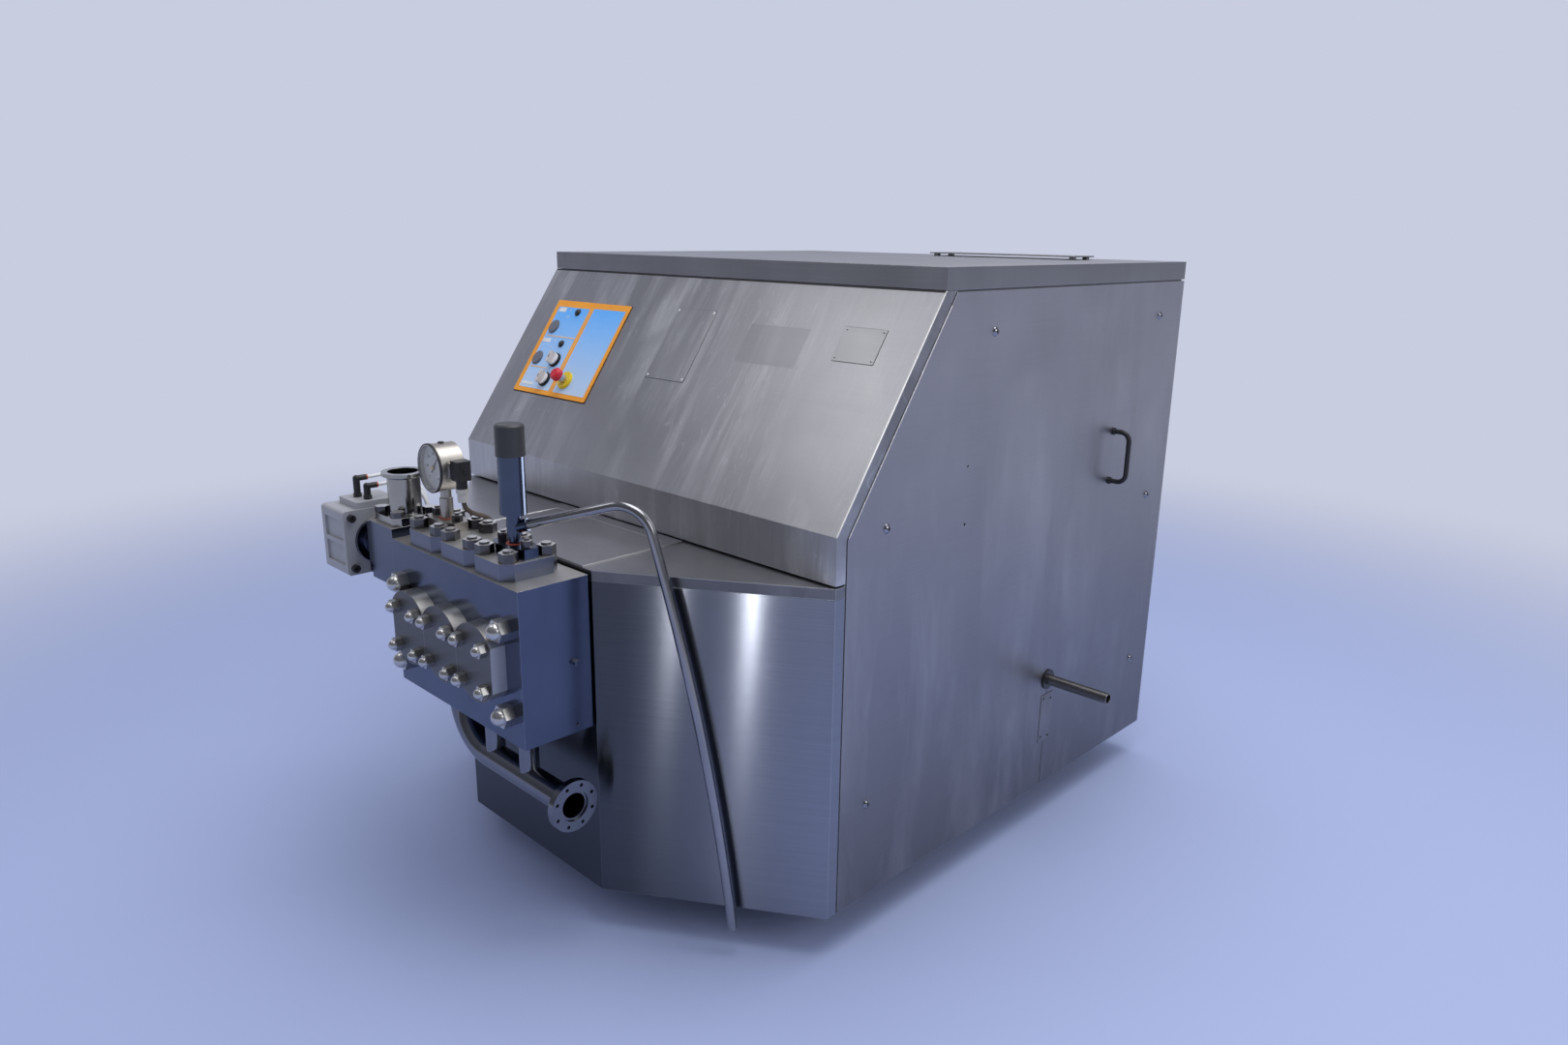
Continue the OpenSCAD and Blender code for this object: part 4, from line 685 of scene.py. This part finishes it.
# Control panel print: places in millimetres across and down the slope
LEFT_FIELD = (-504.0, -380.0, 105.5, 325.5)
RIGHT_FIELD = (-364.0, -244.5, 103.5, 325.7)
DIVIDER = (-373.0, -371.0, 104.0, 325.5)
BARS = ((-496.0, -381.0, 184.6, 187.4), (-498.0, -429.0, 268.6, 271.4))
LABELS = ((-497.0, -470.0, 107.5, 119.5), (-502.0, -470.0, 193.0, 203.5), (-500.0, -452.0, 311.0, 318.0))
DOTS = ((-451.0, 113.0), (-453.0, 132.0), (-447.0, 130.0), (-453.0, 197.0), (-454.0, 215.0))
DARK_MARKS = ((-452.0, 290.0), (-436.0, 280.0))
DOT_R = 1.8 * MM
MARK_R = 3.0 * MM
# The corners' share of a dot's radius, just short of a full circle
DOT_ROUND = 0.98
PRINT_T = 0.25 * MM
PRINT_CORNER = 0.6 * MM


def printed(name, field, material, layer):
    built = rounded_plate(*size_of(field), PRINT_T, PRINT_CORNER, steps=2)
    place = on_slope(*middle_of(field), PANEL_SKIN + layer * PRINT_T)
    piece(name, built, place, material)


def print_dots(name, places, radius, material):
    """Round printed marks, as one piece."""
    parts = [(rounded_plate(2 * radius, 2 * radius, PRINT_T, radius * DOT_ROUND, steps=6),
              on_slope(x, down, PANEL_SKIN + PRINT_T)) for x, down in places]
    piece(name, joined(parts), AS_BUILT, material)


field_high = (SLOPE_TOP + SLOPE_DOWN * LEFT_FIELD[2] * MM).z
field_low = (SLOPE_TOP + SLOPE_DOWN * LEFT_FIELD[3] * MM).z
mat_field = graded("panel_blue", rgb(0.52, 0.68, 0.86), rgb(0.085, 0.44, 0.98), field_low, field_high, 0.36)
printed("panel_field_left", LEFT_FIELD, mat_field, 0)
printed("panel_field_right", RIGHT_FIELD, mat_field, 0)
printed("panel_divider", DIVIDER, mat_pale_orange, 0)
for index, bar in enumerate(BARS):
    printed(f"panel_bar_{index + 1}", bar, mat_pale_orange, 1)
for index, label in enumerate(LABELS):
    printed(f"panel_label_{index + 1}", label, mat_white, 1)
print_dots("panel_dots", DOTS, DOT_R, mat_white)
print_dots("panel_marks", DARK_MARKS, MARK_R, mat_black)

# Dark mark on each selector's grip
GRIP_MARK = (2.4 * MM, 9.0 * MM)
GRIP_MARK_T = 0.2 * MM
GRIP_MARK_CORNER = 0.8 * MM
for side in ("upper", "lower"):
    grip_top = max(v.co.dot(SLOPE_OUT) for v in nodes[f"selector_knob_{side}"].data.vertices)
    pivot = Vector(joints[f"selector_{side}_turn"]["pos_m"])
    mark_at = pivot + SLOPE_OUT * (grip_top - pivot.dot(SLOPE_OUT))
    piece(f"grip_mark_{side}", rounded_plate(*GRIP_MARK, GRIP_MARK_T, GRIP_MARK_CORNER, steps=3),
          frame_of(mark_at, X_AXIS, SLOPE_OUT), mat_black, body=f"selector_{side}")

# Bare plates on the hood, each on a dark sheet that shows round its edge as a painted shadow, and with four
# corner screws
NAME_PLATE = (-76.0, 48.0, 80.0, 251.0)
RATING_PLATE = (411.0, 511.0, 88.0, 160.0)
PLATE_T = 1.0 * MM
PLATE_CORNER = 3.0 * MM
SHADOW_SHEET_T = 0.4 * MM
SHADOW_MARGIN = 0.7 * MM
NAME_SCREW_D = 6.0 * MM
RATING_SCREW_D = 3.5 * MM
SCREW_INSET = 6.0 * MM
SCREW_HEIGHTS = (1.2 * MM, 1.1 * MM, 0.3 * MM)
# Radius of a screw's crown, as a share of the head's diameter
SCREW_CROWN = 0.3


def bare_plate(name, field, screw_d, material, screw_material):
    place = on_slope(*middle_of(field))
    width, height = size_of(field)
    # Dark sheet a little larger than the plate: a painted shadow round its edge
    sheet = rounded_plate(width + 2 * SHADOW_MARGIN, height + 2 * SHADOW_MARGIN, SHADOW_SHEET_T, PLATE_CORNER)
    piece(f"{name}_seal", sheet, place, mat_dark)
    piece(name, rounded_plate(width, height, PLATE_T, PLATE_CORNER), place, material)
    reach_x = width / 2 - SCREW_INSET
    reach_y = height / 2 - SCREW_INSET
    corners = [(button_head(screw_d / 2, screw_d * SCREW_CROWN, SCREW_HEIGHTS),
                Matrix.Translation((sx * reach_x, sy * reach_y, PLATE_T)))
               for sx in (-1, 1) for sy in (-1, 1)]
    piece(f"{name}_screws", joined(corners), place, screw_material)


bare_plate("name_plate", NAME_PLATE, NAME_SCREW_D, mat_hood, mat_bright)
bare_plate("rating_plate", RATING_PLATE, RATING_SCREW_D, mat_plate, mat_nut)

# Painted shadow under the control panel's lower and right edges, as black strips
PANEL_SHADOW_MARGIN = 2.6 * MM
PANEL_SHADOW_CORNER = 1.0 * MM
panel_low, panel_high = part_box("control_panel")
panel_downs = [(v.co - SLOPE_TOP).dot(SLOPE_DOWN) for v in nodes["control_panel"].data.vertices]
panel_top = min(panel_downs)
panel_foot = max(panel_downs)
shadow_w = panel_high.x - panel_low.x - PANEL_SHADOW_MARGIN
shadow_h = panel_foot - panel_top + PANEL_SHADOW_MARGIN
right_bar = (rounded_plate(2 * PANEL_SHADOW_MARGIN, shadow_h, SHADOW_SHEET_T, PANEL_SHADOW_CORNER),
             on_slope(panel_high.x / MM, (panel_top + shadow_h / 2) / MM))
lower_bar = (rounded_plate(shadow_w, 2 * PANEL_SHADOW_MARGIN, SHADOW_SHEET_T, PANEL_SHADOW_CORNER),
             on_slope((panel_low.x + shadow_w / 2) / MM, panel_foot / MM))
piece("panel_seal", joined([right_bar, lower_bar]), AS_BUILT, mat_black)

# Painted shadow between the hood and the lid's rim, as a black strip on the hood
LID_SHADOW_H = 4.0 * MM
LID_SHADOW_T = 0.2 * MM
LID_SHADOW_CORNER = 0.4 * MM
LID_SHADOW_TRIM = 2.0 * MM
lid_shadow_w = 2 * (HOOD_SIDE - LID_SHADOW_TRIM)
piece("lid_shadow", rounded_plate(lid_shadow_w, LID_SHADOW_H, LID_SHADOW_T, LID_SHADOW_CORNER, steps=2),
      on_slope(0.0, LID_SHADOW_H / 2 / MM), mat_black)

# Patch on the hood where the finish is wiped dull
DULL_PATCH = (164.0, 328.0, 100.0, 187.0)
PATCH_T = 0.08 * MM
PATCH_CORNER = 2.0 * MM
piece("dull_patch", rounded_plate(*size_of(DULL_PATCH), PATCH_T, PATCH_CORNER),
      on_slope(*middle_of(DULL_PATCH)), mat_patch)

# Red gaskets on the gauge's and the relief valve's flanges: place and inner radius
FLANGE_TOP = 774.0 * MM
STEM_X = 0.120
STEM_Y = -0.810
GASKET_T = 0.8 * MM
GASKET_R = 16.5 * MM
GASKETS = {
    "gauge_gasket": ((-STEM_X, STEM_Y, FLANGE_TOP), 12.6 * MM),
    "relief_gasket": ((STEM_X, STEM_Y, FLANGE_TOP), 11.1 * MM),
}
for name, (at, inner) in GASKETS.items():
    ring = washer(inner, GASKET_R, GASKET_T, facets=40)
    piece(name, ring, Matrix.Translation(at), mat_gasket)

# Cover strip with rivets over the slot of the right side: places in millimetres to the back and up
STRIP = (224.0, 272.0, 194.0, 310.0)
STRIP_T = 1.2 * MM
STRIP_CORNER = 2.0 * MM
STRIP_BEVEL = 0.3 * MM
RIVETS = ((232.0, 207.0), (263.0, 202.0), (233.0, 301.0), (264.0, 295.0))
RIVET_R = 2.6 * MM
RIVET_CROWN_R = 1.6 * MM
RIVET_HEIGHTS = (1.6 * MM, 1.3 * MM, 0.4 * MM)
strip_place = on_side(*middle_of(STRIP))
strip_w, strip_h = size_of(STRIP)
piece("slot_strip", rounded_plate(strip_w, strip_h, STRIP_T, STRIP_CORNER, bevel=STRIP_BEVEL),
      strip_place, mat_side)
rivets = [(button_head(RIVET_R, RIVET_CROWN_R, RIVET_HEIGHTS), on_side(y, z, STRIP_T)) for y, z in RIVETS]
piece("strip_rivets", joined(rivets), AS_BUILT, mat_dark)

# Painted shade in the gap of the slot below the strip, and a painted shadow round the strip, as black
# sheets
SLOT = (243.5, 246.5, SIDE_LOW.z / MM, STRIP[2])
SLOT_T = 0.5 * MM
SLOT_SUNK = 0.4 * MM
SLOT_CORNER = 0.5 * MM
STRIP_SHADOW_W = 1.0 * MM
STRIP_SHADOW_T = 0.3 * MM
piece("slot_shadow", rounded_plate(*size_of(SLOT), SLOT_T, SLOT_CORNER, steps=2),
      on_side(*middle_of(SLOT), -SLOT_SUNK), mat_black)
piece("strip_shadow", rounded_plate(strip_w + 2 * STRIP_SHADOW_W, strip_h + 2 * STRIP_SHADOW_W, STRIP_SHADOW_T, STRIP_CORNER),
      strip_place, mat_black)

# Painted highlights on edges: a thin bright band along the slope's right fold, a bright bead on the side
# panel's slanted edge
HIGHLIGHT_W = 3.0 * MM
HIGHLIGHT_T = 0.2 * MM
HIGHLIGHT_CORNER = 0.5 * MM
BEAD_R = 1.5 * MM
BEAD_DEEP = 1.0 * MM
BEAD_TRIM = 12.0 * MM
FOLD_W = 28.0 * MM
SLOPE_END = 820.0 * MM
slope_length = (SLOPE_TOP.z - SLOPE_END) / -SLOPE_DOWN.z
piece("hood_edge_highlight", rounded_plate(HIGHLIGHT_W, slope_length, HIGHLIGHT_T, HIGHLIGHT_CORNER, steps=2),
      on_slope((HOOD_SIDE - HIGHLIGHT_W / 2) / MM, slope_length / 2 / MM), mat_edge_highlight)
bead_start = SLOPE_TOP + SLOPE_DOWN * BEAD_TRIM - SLOPE_OUT * (FOLD_W + BEAD_DEEP)
bead_place = frame_of(bead_start + Vector((HOOD_SIDE - BEAD_DEEP, 0, 0)), X_AXIS, SLOPE_DOWN)
bead_length = slope_length - 2 * BEAD_TRIM
bead = lathe([(0.0, 0.0), (BEAD_R, 0.0), (BEAD_R, bead_length), (0.0, bead_length)], facets=16)
piece("side_edge_highlight", bead, bead_place, mat_edge_highlight)

# Gauge dial: scale marks and plain numbers round the pointer's axis, with angles in degrees
dial_low, dial_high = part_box("gauge_dial")
DIAL_R = (dial_high.z - dial_low.z) / 2
DIAL_FACE = -11.0 * MM
SCALE_START = 225.0
SCALE_SWEEP = 270.0
MARKS = 30
MAJOR_EVERY = 5
# Length and width of the marks, and their distance from the dial's rim
MAJOR_MARK = (6.0 * MM, 0.9 * MM)
MINOR_MARK = (3.5 * MM, 0.5 * MM)
MARK_T = 0.12 * MM
MARK_CORNER = 0.1 * MM
MARK_RIM = 4.0 * MM
NUMBERS = ("0", "100", "200", "300", "400", "500", "600")
NUMBER_SIZE = 7.5 * MM
NUMBER_T = 0.06 * MM
NUMBER_LIFT = 0.1 * MM
NUMBER_RIM = 15.5 * MM
gauge_place = frame_of(DIAL_AT, Vector(UPRIGHT).cross(DIAL_OUT), DIAL_OUT)
dial_place = gauge_place @ Matrix.Translation((0, 0, DIAL_FACE))


def scale_turn(share):
    """Angle at a share of the scale, in radians."""
    return math.radians(SCALE_START - SCALE_SWEEP * share)


def dial_marks():
    parts = []
    for k in range(MARKS + 1):
        length, width = MINOR_MARK if k % MAJOR_EVERY else MAJOR_MARK
        mark = rounded_plate(length, width, MARK_T, MARK_CORNER, steps=1)
        middle = DIAL_R - MARK_RIM - length / 2
        turn = Matrix.Rotation(scale_turn(k / MARKS), 4, "Z")
        parts.append((mark, turn @ Matrix.Translation((middle, 0, 0))))
    piece("dial_marks", joined(parts), dial_place, mat_black)


def dial_numbers():
    reach = DIAL_R - NUMBER_RIM
    for k, text in enumerate(NUMBERS):
        turn = scale_turn(k / (len(NUMBERS) - 1))
        curve = bpy.data.curves.new(f"dial_number_{k}", "FONT")
        curve.body = text
        curve.size = NUMBER_SIZE
        curve.align_x = "CENTER"
        curve.align_y = "CENTER"
        curve.extrude = NUMBER_T
        curve.materials.append(mat_black)
        number = bpy.data.objects.new(f"dial_number_{k}", curve)
        bpy.context.scene.collection.objects.link(number)
        spot = (reach * math.cos(turn), reach * math.sin(turn), NUMBER_LIFT)
        number.matrix_world = dial_place @ Matrix.Translation(spot)
        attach(number, ROOT)


dial_marks()
dial_numbers()

# Dark bezel ring round the gauge glass: millimetres out from the gauge's radius and up from its face
GAUGE_R = DIAL_R + 4.6 * MM
BEZEL_PROFILE = ((-2.6, -0.6), (-1.8, 0.6), (-0.6, 0.6), (0.4, -0.5), (0.4, -4.0), (-0.2, -4.5))
bezel = lathe([(GAUGE_R + out * MM, up * MM) for out, up in BEZEL_PROFILE], facets=96)
piece("gauge_bezel", bezel, gauge_place, mat_dark)

# Gold hub on the pointer
HUB_R = 4.2 * MM
HUB_TOP_SHARE = 0.7
HUB_LOW = -7.6 * MM
HUB_HIGH = -6.2 * MM
hub_profile = [(0.0, HUB_HIGH), (HUB_R * HUB_TOP_SHARE, HUB_HIGH), (HUB_R, HUB_LOW), (0.0, HUB_LOW)]
piece("pointer_hub", lathe(hub_profile, facets=32), gauge_place, mat_gold, body="pointer")

# Filler plug on top of the gauge's case
FILLER_R = 6.0 * MM
FILLER_H = 2.5 * MM
FILLER_CHAMFER = 1.0 * MM
FILLER_FOOT = -1.0 * MM
FILLER_SUNK = 1.2 * MM
FILLER_DEPTH = -27.0 * MM
filler_profile = [(0.0, FILLER_H), (FILLER_R - FILLER_CHAMFER, FILLER_H),
                  (FILLER_R, FILLER_H - FILLER_CHAMFER), (FILLER_R, FILLER_FOOT)]
filler_at = gauge_place @ Vector((0.0, GAUGE_R - FILLER_SUNK, FILLER_DEPTH))
piece("gauge_filler", lathe(filler_profile, facets=24), Matrix.Translation(filler_at), mat_black)

# Painted shade of hexagon sockets: dark hexagons on the panel screws' heads, domed as the heads are
SOCKET_R = 4.2 * MM
SOCKET_DROP = 0.75 * MM
SOCKET_PROUD = 0.08 * MM
SOCKET_PROFILE = ((0.0, SOCKET_PROUD), (SOCKET_R / 2, SOCKET_PROUD - SOCKET_DROP / 4),
                  (SOCKET_R, SOCKET_PROUD - SOCKET_DROP))


def islands(node):
    """Boxes of the separate bodies of a node's mesh, each as its lowest and highest corner."""
    built = bmesh.new()
    built.from_mesh(nodes[node].data)
    waiting = set(built.verts)
    boxes = []
    while waiting:
        reach = [waiting.pop()]
        group = list(reach)
        while reach:
            spot = reach.pop()
            for edge in spot.link_edges:
                other = edge.other_vert(spot)
                if other in waiting:
                    waiting.discard(other)
                    reach.append(other)
                    group.append(other)
        low = Vector(min(v.co[k] for v in group) for k in range(3))
        high = Vector(max(v.co[k] for v in group) for k in range(3))
        boxes.append((low, high))
    built.free()
    return boxes


def screw_socket_shade():
    parts = []
    for low, high in islands("panel_screws"):
        side = 1.0 if high.x > 0 else -1.0
        top = Vector((high.x if side > 0 else low.x, (low.y + high.y) / 2, (low.z + high.z) / 2))
        parts.append((lathe(SOCKET_PROFILE, facets=6), frame_of(top, (0, side, 0), (side, 0, 0))))
    piece("screw_socket_shade", joined(parts), AS_BUILT, mat_dark)


screw_socket_shade()

# Air hoses and the gauge cable: smooth tubes along the routes of their solids, in millimetres
HOSE_D = 8.0
HOSE_ROUTES = (
    ((-425, -829, 806), (-425, -815, 806), (-423, -800, 807), (-417, -780, 807), (-405, -760, 803),
     (-388, -744, 793), (-372, -734, 777), (-362, -729, 756), (-358, -727, 732), (-358, -726, 708),
     (-360, -722, 684), (-361, -712, 664), (-360, -698, 651), (-356, -680, 645), (-348, -668, 644)),
    ((-393, -822, 794), (-393, -808, 794), (-391, -793, 795), (-386, -775, 795), (-376, -758, 790),
     (-364, -746, 779), (-352, -739, 763), (-343, -736, 742), (-338, -735, 718), (-338, -734, 696),
     (-340, -730, 674), (-341, -721, 657), (-338, -708, 646), (-332, -696, 641), (-324, -684, 640)))
HOSE_LENGTHS = (298.0, 269.0)
CABLE_D = 9.0
CABLE_ROUTE = (
    (-58, -807, 819), (-58, -807, 811), (-58, -804, 804), (-58, -798, 797.5), (-59, -790, 791.5),
    (-60, -780, 786.5), (-60, -769, 782), (-60.5, -758.5, 776), (-63, -750, 768), (-71, -744, 758.5),
    (-83, -741, 748), (-98, -739.5, 739.5), (-116, -738.7, 733), (-136, -738.3, 729.7), (-156, -738, 729),
    (-176, -738, 730.5), (-193, -737.3, 734.5), (-206, -735.3, 740), (-216, -731, 746), (-224, -723, 750.5),
    (-228, -712, 751), (-229, -702.5, 747), (-229, -697, 739), (-229, -695.5, 728))
TUBE_ROUNDNESS = 4


def smooth_tube(name, node, route, diameter, material):
    """Round tube on one smooth curve through the route's points, held by the machine at both ends."""
    curve = bpy.data.curves.new(name, "CURVE")
    curve.dimensions = "3D"
    curve.bevel_depth = diameter / 2 * MM
    curve.bevel_resolution = TUBE_ROUNDNESS
    curve.use_fill_caps = True
    spline = curve.splines.new("BEZIER")
    spline.bezier_points.add(len(route) - 1)
    for point, at in zip(spline.bezier_points, route):
        point.co = Vector(at) * MM
        point.handle_left_type = "AUTO"
        point.handle_right_type = "AUTO"
    curve.materials.append(material)
    tube = bpy.data.objects.new(name, curve)
    bpy.context.scene.collection.objects.link(tube)
    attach(tube, ROOT)
    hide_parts(node)


for index, (route, length) in enumerate(zip(HOSE_ROUTES, HOSE_LENGTHS)):
    smooth_tube(f"hose_tube_{index + 1}", "air_hoses", route, HOSE_D, mat_hose)
smooth_tube("cable_tube", "gauge_cable", CABLE_ROUTE, CABLE_D, mat_cable)

# Red release rings where the hoses leave the elbows on the actuator
RING_BORE_R = 4.1 * MM
RING_R = 6.0 * MM
RING_T = 3.0 * MM
rings = [(washer(RING_BORE_R, RING_R, RING_T, facets=32),
          frame_of(Vector(route[0]) * MM, X_AXIS, Y_AXIS)) for route in HOSE_ROUTES]
piece("hose_rings", joined(rings), AS_BUILT, mat_gasket)


# Floor and light

BACKDROP = rgb(0.58, 0.61, 0.74)
CEILING = rgb(0.20, 0.205, 0.235)
ROOM = rgb(0.13, 0.135, 0.155)
FLOOR_COLOUR = rgb(0.42, 0.49, 0.74)
FLOOR_ROUGH = 0.7
# The floor keeps its shading up to the first radius and is plain backdrop from the second, in metres
FLOOR_NEAR = 1.8
FLOOR_FAR = 4.5
FLOOR_R = 8.0
# Height of a direction, from 0 level to 1 upright, where the backdrop starts and ends to darken
SKY_LOW = 0.22
SKY_HIGH = 0.85
# The backdrop stands ahead of the camera; beside it the room darkens between these cosines of the heading
ROOM_PALE = 0.70
ROOM_DARK = 0.05
WORLD_STRENGTH = 0.75
# Lamps: name, place and aim, width and height in metres, power in watts, and the nodes it lights if not all
LAMPS = (
    ("overhead", (0.6, 0.4, 4.4), (0.2, -0.2, 0.6), (3.6, 3.0), 110.0, ()),
    ("right_fill", (4.2, 0.4, 2.6), (0.4, 0.0, 0.6), (2.5, 2.0), 30.0, ()),
    ("slope_glow", (-1.25, -1.60, 3.00), (0.45, -0.38, 0.98), (1.0, 0.8), 5.5, ()),
    ("strip_near", (0.79, -2.18, 0.82), (0.361, -0.643, 0.82), (0.03, 1.6), 2.2, ("front_casing",)),
    ("relief_glow", (0.198, -0.514, 0.86), (0.12, -0.805, 0.88), (0.12, 0.35), 0.75, ("relief_valve",)),
    ("strip_far", (1.027, -2.07, 0.82), (0.480, -0.566, 0.82), (0.03, 1.6), 3.0, ("front_casing",)))


def make_floor():
    built = bmesh.new()
    bmesh.ops.create_circle(built, cap_ends=True, segments=96, radius=FLOOR_R)
    mesh = bpy.data.meshes.new("floor")
    built.to_mesh(mesh)
    built.free()
    material, tree, shader = new_material("floor")
    put(tree, shader, {"Base Color": FLOOR_COLOUR, "Roughness": FLOOR_ROUGH})
    reach = add(tree, "ShaderNodeVectorMath", {0: place_of(tree)}, operation="LENGTH").outputs["Value"]
    fade = remap(tree, reach, 0.0, 1.0, FLOOR_NEAR, FLOOR_FAR, ease="SMOOTHSTEP")
    plain = add(tree, "ShaderNodeEmission", {"Color": BACKDROP})
    blended = add(tree, "ShaderNodeMixShader", {0: fade, 1: shader.outputs[0], 2: plain.outputs[0]})
    put(tree, tree.nodes["Material Output"], {"Surface": blended.outputs[0]})
    mesh.materials.append(material)
    floor = bpy.data.objects.new("floor", mesh)
    bpy.context.scene.collection.objects.link(floor)


def make_world():
    """Pale backdrop for the camera; metal and glass see it ahead, and a darker room beside and above."""
    world = bpy.data.worlds.new("studio")
    world.use_nodes = True
    bpy.context.scene.world = world
    tree = world.node_tree
    path = add(tree, "ShaderNodeLightPath").outputs
    mirrored = math_of(tree, "MAXIMUM", path["Is Glossy Ray"], path["Is Transmission Ray"])
    way = add(tree, "ShaderNodeTexCoord").outputs["Generated"]
    above = remap(tree, axis_of(tree, way, "Z"), 0.0, 1.0, SKY_LOW, SKY_HIGH, ease="SMOOTHSTEP")
    azimuth = math.radians(CAMERA_AZIMUTH)
    ahead = dot(tree, way, (-math.sin(azimuth), math.cos(azimuth), 0.0))
    beside = remap(tree, ahead, 0.0, 1.0, ROOM_PALE, ROOM_DARK, ease="SMOOTHSTEP")
    around = mixed(tree, beside, BACKDROP, ROOM)
    sky = add(tree, "ShaderNodeBackground", {"Color": mixed(tree, above, around, CEILING)})
    light = tree.nodes["Background"]
    put(tree, light, {"Color": BACKDROP, "Strength": WORLD_STRENGTH})
    lit = add(tree, "ShaderNodeMixShader", {0: mirrored, 1: light.outputs[0], 2: sky.outputs[0]})
    plain = add(tree, "ShaderNodeBackground", {"Color": BACKDROP})
    chosen = add(tree, "ShaderNodeMixShader",
                 {0: path["Is Camera Ray"], 1: lit.outputs[0], 2: plain.outputs[0]})
    put(tree, tree.nodes["World Output"], {"Surface": chosen.outputs[0]})


def soft_light(name, at, aim, size, power, lit):
    """Area lamp that lights the whole scene, or the given nodes alone."""
    data = bpy.data.lights.new(name, "AREA")
    data.shape = "RECTANGLE"
    data.size, data.size_y = size
    data.energy = power
    light = bpy.data.objects.new(name, data)
    bpy.context.scene.collection.objects.link(light)
    if lit:
        receivers = bpy.data.collections.new(f"{name}_lit")
        for node in lit:
            receivers.objects.link(nodes[node])
        light.light_linking.receiver_collection = receivers
        light.visible_camera = False
    aim_dir = Vector(aim) - Vector(at)
    light.matrix_world = Matrix.Translation(at) @ aim_dir.to_track_quat("-Z", "Y").to_matrix().to_4x4()


make_floor()
make_world()
for lamp in LAMPS:
    soft_light(*lamp)
bpy.context.scene.view_settings.view_transform = "Standard"
